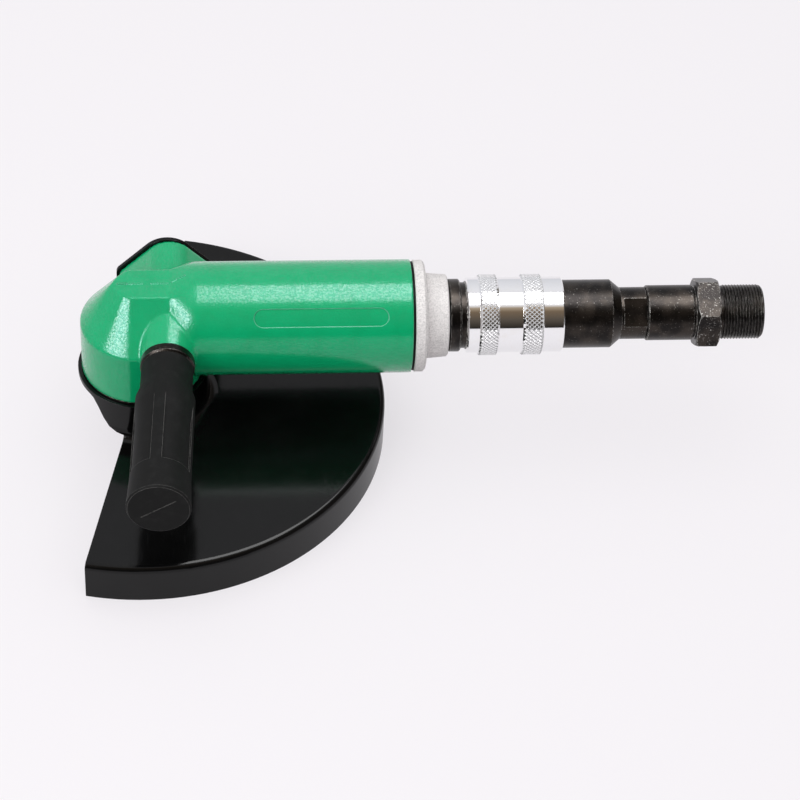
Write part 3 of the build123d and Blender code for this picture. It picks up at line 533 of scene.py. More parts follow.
@dataclass(frozen=True)
class Finish(ABC):
    """Look of a surface; its edges' radius and its relief's depth are in millimetres."""

    name: str
    colour: Colour
    edge: float = 0.4
    relief: float = 0.03
    made: ClassVar[dict[str, bpy.types.Material]] = {}

    def material(self) -> bpy.types.Material:
        """The finish as a Blender material, made on first use.

        Returns:
            The material.
        """
        if self.name not in self.made:
            material = bpy.data.materials.new(self.name)
            material.use_nodes = True
            self.shade(Graph(material.node_tree))
            self.made[self.name] = material
        return self.made[self.name]

    @abstractmethod
    def shade(self, graph: Graph) -> None:
        """Build the finish's nodes."""


@dataclass(frozen=True)
class Enamel(Finish):
    """Glossy paint over a rough casting."""

    edge: float = 0.5
    relief: float = 0.15
    deep: Colour = (0.002, 0.36, 0.13)
    # Paler colour for the edges: partly thinner paint on ridges, partly painted highlight along the edges.
    thin_paint_and_highlight: Colour = (0.24, 0.76, 0.54)
    sheen: Colour = (0.55, 0.64, 0.86)
    peel: float = 1.1
    rough_x: Pair = (28.0, 24.0)

    def shade(self, graph: Graph) -> None:
        """Paint darker in random patches, paler on edges as thinner paint and as painted highlight, with the
        casting's grain, mostly on the head.

        Args:
            graph: The material's nodes.
        """
        round_edge = graph.rounded(self.edge)
        mottle = graph.noise(9.0, 3.0)
        skin = graph.noise(self.peel, 3.0, 0.6)
        swell = graph.noise(6.0, 1.0)
        head = graph.beyond(self.rough_x)
        colour = graph.blend(mottle.step(0.35, 0.75) * 0.5, self.colour, self.deep)
        # Edges painted paler: partly thinner paint, partly painted highlight.
        colour = graph.blend(graph.edges(round_edge, 6.0) * 0.85, colour, self.thin_paint_and_highlight)
        relief = skin * (0.5 + head * 0.25) + swell * 0.3
        fleck = graph.noise(0.9, 2.0).step(0.44, 0.6)
        graph.surface(Base_Color=colour, Roughness=0.14 + mottle * 0.06 + head * 0.04,
                      Specular_Tint=self.sheen, Coat_Weight=fleck * 0.6, Coat_Roughness=0.13,
                      Normal=graph.bump(relief, self.relief, round_edge))


@dataclass(frozen=True)
class GlossPaint(Finish):
    """Smooth black paint on sheet metal."""

    relief: float = 0.02
    dusty: Colour = (0.008, 0.0078, 0.008)
    lean: float = 0.132
    dish: float = 0.433

    def shade(self, graph: Graph) -> None:
        """Even gloss with a slight ripple and faint rub marks; its shading leans as in a shallow dish.

        Args:
            graph: The material's nodes.
        """
        round_edge = graph.rounded(self.edge)
        cloud = graph.noise(24.0, 3.0)
        rub = graph.noise(2.0, 4.0, 0.7, stretch=(1.0, 0.15, 1.0))
        y = graph.along("Y")
        ripple = graph.noise(5.0, 2.0) + y * (y * self.dish + self.lean) * (1 / (self.relief * MM))
        colour = graph.blend(cloud.step(0.45, 0.8) * 0.5, self.colour, self.dusty)
        graph.surface(Base_Color=colour, Roughness=0.12 + rub.step(0.5, 0.8) * 0.1, Specular_IOR_Level=0.24,
                      Normal=graph.bump(ripple, self.relief, round_edge))


@dataclass(frozen=True)
class CastMetal(Finish):
    """Blasted casting, unpainted."""

    relief: float = 0.14
    dark: Colour = (0.48, 0.46, 0.455)
    grain: float = 0.7

    def shade(self, graph: Graph) -> None:
        """Grain with darker specks and patches.

        Args:
            graph: The material's nodes.
        """
        round_edge = graph.rounded(self.edge)
        grain = graph.noise(self.grain, 4.0, 0.7)
        patch = graph.noise(7.0, 2.0)
        speck = grain.step(0.62, 0.35) * 0.6 + patch.step(0.5, 0.8) * 0.25
        colour = graph.blend(speck, self.colour, self.dark)
        graph.surface(Base_Color=colour, Roughness=0.5 + grain * 0.2, Specular_IOR_Level=0.25,
                      Normal=graph.bump(grain, self.relief, round_edge))


@dataclass(frozen=True)
class Plating(Finish):
    """Polished bright plating, with the knurl's grooves painted light and matte: partly frost, partly painted
    reflection.
    """

    edge: float = 0.1
    relief: float = 0.002
    warm: Colour = (0.86, 0.84, 0.8)
    frost_and_painted_reflection: Colour = (0.62, 0.62, 0.63)
    knurl_r: Pair = (19.3, 19.93)

    def shade(self, graph: Graph) -> None:
        """Mirror with faint turning lines, a few wipe marks, and grooves painted light: partly frost, partly
        painted reflection.

        Args:
            graph: The material's nodes.
        """
        round_edge = graph.rounded(self.edge)
        lines = graph.noise(0.5, 3.0, stretch=(1.0, 0.01, 0.01))
        wipe = graph.noise(6.0, 4.0, 0.65)
        low, high = (radius * MM for radius in self.knurl_r)
        radius = graph.reach(Axis.MOTOR)
        groove = radius.step(low, low + 0.1 * MM) * radius.step(high + 0.04 * MM, high)
        colour = graph.blend(wipe.step(0.45, 0.75) * 0.4, self.colour, self.warm)
        # Grooves and flanks of the knurl painted light, matte and nearly non-metallic: partly frost, partly
        # painted reflection of the bright mesh.
        colour = graph.blend(groove, colour, self.frost_and_painted_reflection)
        graph.surface(Base_Color=colour, Metallic=1.0 - groove * 0.9,
                      Roughness=0.04 + wipe.step(0.5, 0.85) * 0.06 + groove * 0.5,
                      Normal=graph.bump(lines, self.relief, round_edge))


@dataclass(frozen=True)
class BlackedSteel(Finish):
    """Oiled black oxide on turned steel, its edges painted bright: partly wear, partly painted highlight."""

    edge: float = 0.55
    brown: Colour = (0.046, 0.039, 0.034)
    bare: Colour = (0.42, 0.4, 0.375)
    # Bright colour of the edges and nicks: partly bare wear, partly painted highlight along the edges.
    wear_and_highlight: Colour = (0.68, 0.66, 0.63)
    unworn_x: Pair = (285.0, 287.5)
    handled_x: Pair = (80.0, 100.0)
    nicked_x: Pair = (269.0, 271.0)
    turning: Point = (1.0, 0.02, 0.02)

    def shade(self, graph: Graph) -> None:
        """Dark oxide with a brown cast, turning lines, scuffs, flecks, edges painted bright as wear and as
        painted highlight, and a nicked hexagon.

        Args:
            graph: The material's nodes.
        """
        round_edge = graph.rounded(self.edge)
        cast = graph.noise(9.0, 3.0)
        lines = graph.noise(0.5, 3.0, stretch=self.turning)
        scuff = graph.noise(0.8, 5.0, 0.75)
        fleck = graph.noise(0.7, 3.0, 0.6).step(0.64, 0.72)
        spared = graph.beyond(self.unworn_x)
        handled = graph.beyond(self.handled_x)
        # Edges painted bright, least on the thread: partly wear, partly painted highlight.
        wear_and_highlight = graph.edges(round_edge, 8.0) * graph.noise(1.4, 3.0).step(0.4, 0.54)
        wear_and_highlight = wear_and_highlight * (1 - spared * 0.8) * (0.3 + handled * 0.7)
        nicked = graph.beyond(self.nicked_x) * (1 - spared)
        nick = graph.noise(1.1, 4.0, 0.7).step(0.6, 0.68) * nicked
        colour = graph.blend(cast.step(0.38, 0.7), self.colour, self.brown)
        colour = graph.blend(scuff.step(0.58, 0.74) * 0.15 + fleck * 0.5, colour, self.bare)
        colour = graph.blend(wear_and_highlight * 0.9 + nick * 0.5, colour, self.wear_and_highlight)
        graph.surface(Base_Color=colour, Metallic=1.0 - wear_and_highlight * 0.7,
                      Roughness=0.24 + cast * 0.12 + lines * 0.08,
                      Normal=graph.bump(lines * 0.5 + scuff * 0.5, self.relief, round_edge))


@dataclass(frozen=True)
class Rubber(Finish):
    """Moulded black rubber."""

    dusty: Colour = (0.022, 0.022, 0.0222)
    # Lighter colour of the edges: partly rubbing wear, partly painted highlight.
    rubbed_and_highlight: Colour = (0.2, 0.196, 0.19)
    grain: float = 0.7

    def shade(self, graph: Graph) -> None:
        """Matte skin with fine grain, a little dust, and edges painted lighter: partly rubbing wear, partly
        painted highlight.

        Args:
            graph: The material's nodes.
        """
        round_edge = graph.rounded(self.edge)
        grain = graph.noise(self.grain, 3.0, 0.6)
        dust = graph.noise(5.0, 4.0, 0.6)
        # Edges painted lighter: partly rubbing wear, partly painted highlight.
        pale = graph.edges(round_edge, 8.0) * graph.noise(2.5, 3.0).step(0.25, 0.5)
        colour = graph.blend(dust.step(0.45, 0.75) * 0.6, self.colour, self.dusty)
        colour = graph.blend(pale * 0.8, colour, self.rubbed_and_highlight)
        graph.surface(Base_Color=colour, Roughness=0.48 + dust * 0.16, Specular_IOR_Level=0.04,
                      Normal=graph.bump(grain, self.relief, round_edge))


@dataclass(frozen=True)
class Machined(Finish):
    """Bare metal with tool marks."""

    edge: float = 0.2
    relief: float = 0.006
    stain: Colour = (0.3, 0.28, 0.26)
    gloss: float = 0.26
    metal: float = 1.0
    marks: Point = (0.05, 0.05, 1.0)

    def shade(self, graph: Graph) -> None:
        """Fine tool marks and slight stains.

        Args:
            graph: The material's nodes.
        """
        round_edge = graph.rounded(self.edge)
        lines = graph.noise(0.4, 3.0, stretch=self.marks)
        stain = graph.noise(6.0, 4.0, 0.6)
        colour = graph.blend(stain.step(0.5, 0.8) * 0.5, self.colour, self.stain)
        graph.surface(Base_Color=colour, Metallic=self.metal,
                      Roughness=self.gloss + lines * 0.12 + stain * 0.08,
                      Normal=graph.bump(lines, self.relief, round_edge))


FINISHES: dict[str, Finish] = {finish.name: finish for finish in (
    Enamel("green_enamel", (0.003, 0.425, 0.163)),
    GlossPaint("black_gloss", (0.0025, 0.0025, 0.0026)),
    CastMetal("cast_grey", (0.94, 0.905, 0.9)),
    Plating("chrome_plate", (0.9, 0.9, 0.91)),
    BlackedSteel("black_oxide", (0.019, 0.0172, 0.0166)),
    Rubber("grip_rubber", (0.014, 0.014, 0.0141)),
    Rubber("seal_rubber", (0.007, 0.007, 0.007), grain=0.4),
    Machined("ground_steel", (0.56, 0.57, 0.58)),
    Machined("motor_iron", (0.27, 0.27, 0.28), stain=(0.14, 0.13, 0.12), gloss=0.42,
             marks=(1.0, 0.05, 0.05)),
    Machined("vane_fibre", (0.32, 0.17, 0.08), stain=(0.2, 0.1, 0.05), gloss=0.55, metal=0.0,
             marks=(0.05, 1.0, 1.0)),
    Machined("strainer_brass", (0.66, 0.5, 0.22), stain=(0.4, 0.28, 0.12), gloss=0.3,
             marks=(1.0, 0.05, 0.05)),
)}


def dress_nodes(nodes: dict[str, Piece], subparts: Sequence[dict[str, Any]]) -> None:
    """Give every CAD node the finish of its slot.

    Args:
        nodes: The CAD nodes.
        subparts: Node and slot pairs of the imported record.
    """
    for row in subparts:
        finish = FINISHES[row["material_slot"]].material()
        for slot in nodes[row["node"]].material_slots:
            slot.material = finish
        LOG.info("%s wears %s", row["node"], row["material_slot"])


@dataclass
class Assembly(ABC):
    """A piece that stands for a CAD node; its edges are shaded sharp from its crease on, in degrees."""

    node: ClassVar[str]
    body: ClassVar[str]
    slot: ClassVar[str]
    crease: ClassVar[float]

    @abstractmethod
    def model(self) -> Piece:
        """Build the piece's mesh."""

    def build(self) -> None:
        """Model the piece, dress it and set it on its body."""
        piece = self.model()
        Bench.shade(piece, self.crease)
        piece.data.materials.clear()
        piece.data.materials.append(FINISHES[self.slot].material())
        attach(piece, self.body)
        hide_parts(self.node)
        LOG.info("%s has %d faces", piece.name, len(piece.data.polygons))


@dataclass
class Casting(Assembly):
    """Green casting: gear head, handle boss, service wing and motor body, with its machined rooms."""

    node: ClassVar[str] = "motor_housing"
    body: ClassVar[str] = "tool_body"
    slot: ClassVar[str] = "green_enamel"
    crease: ClassVar[float] = 38.0

    body_r: float = 28.0
    body_x: Pair = (26.0, 131.8)
    shoulder_x: float = 14.0
    shoulder_low: float = 43.0
    shoulder_sweep: float = 1.8
    shoulder_slices: int = 6
    shoulder_step: int = 4
    shoulder_lap: float = 0.5
    head_r: float = 30.4
    head_half: float = 29.8
    foot_z: float = 30.5
    eave_z: float = 59.0
    strip_z: float = 82.2
    strip_half: float = 10.3
    strip_front: Pairs = ((-5.2, 10.3), (-8.4, 9.0), (-11.5, 5.6), (-13.3, 2.5), (-14.6, 0.0))
    seam: Pairs = ((-11.6, -6.9), (-6.3, -4.3), (-3.4, 0.7), (4.6, 8.2), (9.4, 13.0))
    seam_climb: tuple[tuple[Point, Point], ...] = (
        ((14.8, 0.3, 82.6), (17.2, 0.6, 84.1)), ((18.4, 0.9, 84.7), (21.4, 1.4, 85.95)))
    seam_r: float = 0.5
    seam_height: float = 0.35
    boss_x: float = 12.4
    boss_lean: float = 2.9
    boss_r: float = 12.4
    boss_draft: float = 0.297
    boss_depth: float = 22.0
    boss_standoff: float = 2.0
    wing_x: float = 13.6
    wing_z: float = 58.2
    wing_r: float = 13.5
    wing_half: float = 25.0
    wing_foot: float = 36.0
    wing_y: Pair = (1.0, 43.6)
    wing_wall: float = 7.4
    wing_corner: float = 3.6
    room_corner: float = 1.0
    roof_slope: int = 45
    roof_step: int = 9
    foot_step: int = 15
    ridge_drop: float = 5.0
    wing_room_y0: float = 24.0
    motor_room: Pairs = ((10.0, 0.0), (10.0, 13.0), (33.0, 13.0), (33.0, 17.5), (44.0, 17.5), (44.0, 24.5),
                         (140.0, 24.5), (140.0, 0.0))
    gear_room: Pairs = ((25.0, 0.0), (25.0, 25.0), (56.0, 25.0), (56.0, 7.5), (70.0, 7.5), (70.0, 0.0))
    socket_r: float = 6.03
    socket_depth: float = 14.0
    cover_hole_r: float = 1.53
    cover_hole_depth: float = 9.0
    cap_hole_r: float = 1.63
    cap_hole_z: Pair = (25.0, 38.5)
    cap_circle_r: float = 27.1
    cap_holes: int = 6
    overrun: float = 6.0
    panel_x: float = 86.9
    panel_tilt: float = 48.8
    panel_size: Pair = (65.4, 8.9)
    panel_sink: float = 0.5
    voxel: float = 0.7
    smoothing: int = 3

    def head(self) -> Piece:
        """Round-nosed, flat-sided head whose top runs from the wall up to the pointed strip.

        Returns:
            The head.
        """
        height, half = self.eave_z - self.foot_z, self.head_half
        wall = Bench.rod("wall", (0, 0, self.foot_z), (0, 0, 1), self.head_r, height, sides=160)
        for side in (-1.0, 1.0):
            Bench.slice(wall, (0, side * half, 0), (0, side, 0))
        back = Bench.block("back", (0, -half, self.foot_z), (self.shoulder_x, half, self.eave_z))
        side_edge = [(self.shoulder_x, self.strip_half), *self.strip_front]
        strip = Bench.wire("strip", [(x, side * y, self.strip_z) for side in (-1, 1) for x, y in side_edge])
        return Bench.hull("head", [wall, back, strip])

    def shoulder_reach(self, angle: float) -> float:
        """Distance from the motor axis to the outline of the head's gabled section.

        Args:
            angle: Direction from straight up, in radians.

        Returns:
            The distance in millimetres.
        """
        across, rise = abs(math.sin(angle)), math.cos(angle)
        top, low = self.strip_z - MOTOR_Z, MOTOR_Z - self.shoulder_low
        flank = Vector((top, self.head_half - self.strip_half)).normalized()
        sides = ((across, self.head_half), (rise, top), (-rise, low),
                 (across * flank.x + rise * flank.y, self.head_half * flank.x))
        return min(distance / share for share, distance in sides if share > 0)

    def shoulder(self) -> list[Piece]:
        """Slices that grow from the head's gabled section to the round motor body, fast at first.

        Returns:
            The slices.
        """
        x0, x1 = self.shoulder_x, self.body_x[0] + self.shoulder_lap
        angles = [math.radians(degrees) for degrees in range(0, 360, self.shoulder_step)]

        def outline(share: float) -> list[Point]:
            """Section at a share of the way to the motor body.

            Args:
                share: The share.

            Returns:
                Its points in millimetres.
            """
            grown = 1 - (1 - share) ** self.shoulder_sweep
            reaches = [(1 - grown) * self.shoulder_reach(angle) + grown * self.body_r for angle in angles]
            return [(x0 + (x1 - x0) * share, reach * math.sin(angle), MOTOR_Z + reach * math.cos(angle))
                    for reach, angle in zip(reaches, angles)]

        shares = [number / self.shoulder_slices for number in range(self.shoulder_slices + 1)]
        return [Bench.hull("shoulder", [Bench.wire("section", outline(share)) for share in ends])
                for ends in zip(shares, shares[1:])]

    def drum(self, name: str, radius: float, steps: int) -> Piece:
        """Plain drum of a radius, as long as the motor body, with some segments around."""
        x0, x1 = self.body_x
        return Bench.turned(name, Axis.MOTOR, [(x0, 0), (x0, radius), (x1, radius), (x1, 0)], steps)

    def parting_line(self) -> Piece:
        """What the fettling left of the seam along the strip and up the shoulder.

        Returns:
            The beads.
        """
        level = self.strip_z + self.seam_height - self.seam_r
        runs = [((x0, 0.0, level), (x1, 0.0, level)) for x0, x1 in self.seam] + list(self.seam_climb)
        return Bench.gather("seam", [
            Bench.rod("bead", start, Vector(end) - Vector(start), self.seam_r, math.dist(start, end),
                      sides=10) for start, end in runs])

    def boss_frame(self) -> tuple[Vector, Vector]:
        """Where the handle stands.

        Returns:
            Centre of the boss's face in millimetres, and the direction in which the handle leaves it.
        """
        lean = math.radians(self.boss_lean)
        face = Vector((self.boss_x, -self.head_half - self.boss_standoff, MOTOR_Z))
        return face, Vector((-math.sin(lean), -math.cos(lean), 0))

    def boss(self) -> Piece:
        """Tapered boss that carries the side handle.

        Returns:
            The boss.
        """
        face, out = self.boss_frame()
        root = self.boss_r + self.boss_draft * self.boss_depth
        start = face - out * self.boss_depth
        return Bench.rod("boss", start, out, root, self.boss_depth, self.boss_r, sides=96)

    def gable(self, name: str, inset: float, y0: float, y1: float) -> Piece:
        """Gabled prism with a round ridge.

        Args:
            name: Name of the piece.
            inset: Distance of its walls inside the wing's.
            y0: Where it starts.
            y1: Where it ends.

        Returns:
            The prism.
        """
        half, radius, foot = self.wing_half - inset, self.wing_r - inset, self.wing_foot + inset
        corner = self.room_corner if inset else self.wing_corner
        eave = self.wing_z + (radius - corner) * math.sqrt(2) - (half - corner)
        top = self.wing_z + 2 * radius
        prism = Bench.block(name, (self.wing_x - half, y0, foot), (self.wing_x + half, y1, top))
        slope, step, lower = self.roof_slope, self.roof_step, self.foot_step
        rounds = [(0.0, self.wing_z, radius, range(-slope, slope + 1, step))]
        for side in (-1, 1):
            edge = side * (half - corner)
            rounds.append((edge, eave, corner, range(side * (slope + step), side * 90, side * step)))
            rounds.append((edge, foot + corner, corner, range(side * (90 + lower), side * 180, side * lower)))
        for across, height, reach, angles in rounds:
            for angle in (math.radians(degrees) for degrees in angles):
                out = Vector((math.sin(angle), 0, math.cos(angle)))
                Bench.slice(prism, Vector((self.wing_x + across, 0, height)) + out * reach, out)
        return prism

    def rooms(self) -> list[Piece]:
        """Machined rooms and holes, in two sets that don't cross themselves.

        Returns:
            The two sets.
        """
        face, out = self.boss_frame()
        motor = Bench.turned("motor_room", Axis.MOTOR, self.motor_room, steps=96)
        wing = self.gable("wing_room", self.wing_wall, self.wing_room_y0, self.wing_y[1] + self.overrun)
        socket = Bench.rod("handle_socket", face - out * self.socket_depth, out, self.socket_r,
                           self.socket_depth + self.overrun)
        side, low = self.wing_half - self.wing_wall / 2, self.wing_foot + self.wing_wall / 2
        ridge = self.wing_z + self.wing_r - self.ridge_drop
        bottom = self.wing_y[1] - self.cover_hole_depth
        screws = [Bench.rod("cover_hole", (self.wing_x + x, bottom, z), (0, 1, 0), self.cover_hole_r,
                            self.cover_hole_depth + self.overrun, sides=24)
                  for x, z in ((-side, low), (side, low), (0.0, ridge))]
        gears = Bench.turned("gear_room", Axis.SPINDLE, self.gear_room, steps=96)
        (foot, end), ring = self.cap_hole_z, self.cap_circle_r
        turns = [FULL_TURN * (number + 0.5) / self.cap_holes for number in range(self.cap_holes)]
        caps = [Bench.rod("cap_hole", (ring * math.cos(turn), ring * math.sin(turn), foot), (0, 0, 1),
                          self.cap_hole_r, end - foot, sides=24) for turn in turns]
        return [Bench.gather("rooms", [motor, wing, socket, *screws]),
                Bench.gather("gear_rooms", [gears, *caps])]

    def panel(self) -> Piece:
        """Cutter of the shallow oblong panel on the motor body.

        Returns:
            The cutter.
        """
        length, width = self.panel_size
        run = length - width
        lean = math.radians(self.panel_tilt)
        out = Vector((0, -math.sin(lean), math.cos(lean)))
        start = Vector((self.panel_x - run / 2, 0, MOTOR_Z))
        cutter = Bench.rod("panel", start, out, width / 2, self.body_r * 2, sides=64)
        with Bench.editing(cutter):
            Bench.pick(cutter, Part.VERTEX, lambda vertex: vertex.co.x > start.x * MM + HAIR)
            bpy.ops.transform.translate(value=(run * MM, 0, 0))
        core = self.drum("core", self.body_r - self.panel_sink, steps=192)
        Bench.combine(cutter, core, Join.CUT)
        return cutter

    def model(self) -> Piece:
        """Fuse the forms into one soft-edged casting, then machine it.

        Returns:
            The casting.
        """
        forms = [self.head(), *self.shoulder(), self.drum("barrel", self.body_r, steps=128), self.boss()]
        casting = Bench.gather("motor_casting", [*forms, self.gable("wing", 0.0, *self.wing_y)])
        Bench.apply(casting, "REMESH", mode="VOXEL", voxel_size=self.voxel * MM)
        Bench.apply(casting, "SMOOTH", factor=0.5, iterations=self.smoothing)
        for room in self.rooms():
            Bench.combine(casting, room, Join.CUT)
        Bench.combine(casting, self.panel(), Join.CUT)
        Bench.combine(casting, self.parting_line(), Join.ADD)
        return casting


@dataclass
class Grip(Assembly):
    """Rubber grip of the side handle: sunk panels, a flared end and a mould line across the end."""

    node: ClassVar[str] = "handle_grip"
    body: ClassVar[str] = "tool_body"
    slot: ClassVar[str] = "grip_rubber"
    crease: ClassVar[float] = 28.0

    casting: Casting = field(default_factory=Casting)
    profile: Pairs = (
        (67.0, 0.0), (67.0, 6.03), (4.8, 6.03), (4.8, 12.0), (5.4, 12.6), (21.0, 12.6), (27.0, 14.4),
        (79.0, 14.4), (97.7, 15.2), (98.7, 14.4), (98.7, 0.0))
    panels: int = 4
    panel_turn: float = 53.0
    panel_angle: float = 68.0
    panel_floor: Pairs = ((34.0, 14.45), (46.0, 13.6), (79.0, 13.6))
    clear_r: float = 20.0
    clear_end: float = 1.0
    line_length: float = 19.5
    line_lean: float = 34.0
    line_r: float = 0.24
    line_sunk: float = 0.1

    def panel(self, turn: float) -> Piece:
        """Cutter of one panel, whose floor slopes in at the boss end.

        Args:
            turn: Heading of its middle, in degrees.

        Returns:
            The cutter.
        """
        (start, _), (end, _) = self.panel_floor[0], self.panel_floor[-1]
        outside = [(end, self.clear_r), (start, self.clear_r)]
        skin = Bench.turned("panel", Axis.SPINDLE, [*self.panel_floor, *outside, self.panel_floor[0]])
        edges = [math.radians(turn + side * self.panel_angle / 2) for side in (-1, 1)]
        far = 2 * self.clear_r
        corners = [(0, 0), *((far * math.cos(edge), far * math.sin(edge)) for edge in edges)]
        ends = [Bench.wire("sector", [(x, y, z) for x, y in corners])
                for z in (start - self.clear_end, end + self.clear_end)]
        Bench.combine(skin, Bench.hull("sector", ends), Join.KEEP)
        return skin

    def mould_line(self) -> Piece:
        """Bead where the two halves of the mould met on the end.

        Returns:
            The bead.
        """
        lean = math.radians(self.line_lean)
        way = Vector((math.sin(lean), -math.cos(lean), 0))
        middle = Vector((0, 0, self.profile[-1][0] - self.line_sunk))
        start = middle - way * self.line_length / 2
        return Bench.rod("mould_line", start, way, self.line_r, self.line_length, sides=8)

    def model(self) -> Piece:
        """Turn the grip upright, sink its panels and set it on the boss.

        Returns:
            The grip.
        """
        grip = Bench.turned("rubber_grip", Axis.SPINDLE, self.profile, steps=96)
        for number in range(self.panels):
            Bench.combine(grip, self.panel(self.panel_turn + number * 360 / self.panels), Join.CUT)
        Bench.combine(grip, self.mould_line(), Join.ADD)
        face, out = self.casting.boss_frame()
        top = Vector((0, 0, 1))
        turned = Matrix((top, out.cross(top), out)).transposed().to_4x4()
        Bench.focus(grip)
        grip.matrix_world = Matrix.Translation(metres(face)) @ turned
        bpy.ops.object.transform_apply(location=True, rotation=True, scale=True)
        return grip


@dataclass
class ThrottleSleeve(Assembly):
    """Bright sleeve with two bands of diamond knurling."""

    node: ClassVar[str] = "throttle_sleeve"
    body: ClassVar[str] = "throttle_set"
    slot: ClassVar[str] = "chrome_plate"
    crease: ClassVar[float] = 24.0

    x: Pair = (159.2, 206.8)
    radius: float = 18.7
    bore: float = 16.95
    edge: float = 0.6
    bands: Pairs = ((165.6, 174.2), (186.8, 196.2))
    band_r: float = 20.0
    knurl: float = 0.3
    knurl_groove: float = 0.22
    rows: int = 4
    around: int = 60
    band_slack: float = 0.15
    room: Pair = (174.5, 189.5)
    room_r: float = 17.7

    def profile(self) -> list[Pair]:
        """Closed outline with a corner at each row of the knurling.

        Returns:
            Its corners as (x, radius).
        """
        (x0, x1), base = self.x, self.band_r - self.knurl
        rise = base - self.radius
        corners = [(x0, self.bore), (x0, self.radius - self.edge), (x0 + self.edge, self.radius)]
        for start, end in self.bands:
            corners.append((start - rise / 2, self.radius))
            corners += [(start + (end - start) * row / self.rows, base) for row in range(self.rows + 1)]
            corners.append((end + rise / 2, self.radius))
        corners += [(x1 - self.edge, self.radius), (x1, self.radius - self.edge), (x1, self.bore)]
        room0, room1 = self.room
        corners += [(room1, self.bore), (room1, self.room_r), (room0, self.room_r), (room0, self.bore)]
        return [*corners, corners[0]]

    def model(self) -> Piece:
        """Turn the sleeve and raise the diamonds of its bands.

        Returns:
            The sleeve.
        """
        sleeve = Bench.turned("knurled_sleeve", Axis.MOTOR, self.profile(), steps=self.around)
        for start, end in self.bands:
            self.raise_diamonds(sleeve, start, end)
        return sleeve

    def raise_diamonds(self, sleeve: Piece, start: float, end: float) -> None:
        """Turn the square faces of a band into raised diamonds with flat tops.

        Args:
            sleeve: The turned sleeve.
            start: Where the band starts.
            end: Where it ends.
        """
        low = self.band_r - self.knurl - self.band_slack

        def in_band(place: Vector) -> bool:
            """Whether a point lies on the band's outside."""
            radius = math.hypot(place.y, place.z - MOTOR_Z * MM)
            return start * MM < place.x < end * MM and radius > low * MM

        def is_grid(edge: bmesh.types.BMEdge) -> bool:
            """Whether an edge is one of the band's square grid, away from its two rims.

            Args:
                edge: The edge.

            Returns:
                Whether it is.
            """
            first, second = (vertex.co for vertex in edge.verts)
            span = second - first
            straight = abs(span.x) < HAIR or math.hypot(span.y, span.z) < HAIR
            return straight and in_band((first + second) / 2)

        with Bench.editing(sleeve):
            Bench.pick(sleeve, Part.FACE, lambda face: in_band(face.calc_center_median()))
            bpy.ops.mesh.poke(offset=0.0, center_mode="MEDIAN")
            Bench.pick(sleeve, Part.EDGE, is_grid)
            bpy.ops.mesh.dissolve_edges(use_verts=False, use_face_split=False)
            Bench.pick(sleeve, Part.FACE,
                       lambda face: len(face.verts) == 4 and in_band(face.calc_center_median()))
            bpy.ops.mesh.inset(use_individual=True, thickness=self.knurl_groove * MM, depth=self.knurl * MM)


@dataclass(frozen=True)
class Thread:
    """Outside thread on the motor axis; depth is a share of the pitch, ridge is in shares of both."""

    major: float
    pitch: float
    x: Pair
    chamfer: float
    depth: float = 0.6134
    ridge: Pairs = ((0.0, 0.0), (0.36, 1.0), (0.485, 1.0), (0.845, 0.0), (1.0, 0.0))
    run_in: float = 1.5
    steps: int = 72

    def model(self) -> Piece:
        """Wind one turn's outline into a solid thread with a chamfered tip.

        Returns:
            The threaded rod.
        """
        (start, end), depth = self.x, self.depth * self.pitch
        turns = math.ceil((end - start) / self.pitch) + math.ceil(self.run_in)
        rod = Bench.wire("thread", [
            (start + (along - self.run_in) * self.pitch, 0, self.major - (1 - high) * depth)
            for along, high in self.ridge])
        Bench.apply(rod, "SCREW", axis="X", angle=FULL_TURN, screw_offset=self.pitch * MM, iterations=turns,
                    steps=self.steps, render_steps=self.steps, use_merge_vertices=True, merge_threshold=MERGE)
        with Bench.editing(rod):
            Bench.heal()
            bpy.ops.transform.translate(value=(0, 0, MOTOR_Z * MM))
        Bench.slice(rod, (start, 0, 0), (-1, 0, 0))
        Bench.slice(rod, (end, 0, 0), (1, 0, 0))
        first, last, outside = start - self.pitch, end + HAIR / MM, self.major + self.pitch
        envelope = Bench.turned("envelope", Axis.MOTOR, [
            (first, 0), (first, outside), (end - self.chamfer - self.pitch, outside),
            (last, self.major - self.chamfer), (last, 0)], self.steps)
        Bench.combine(rod, envelope, Join.KEEP)
        return rod


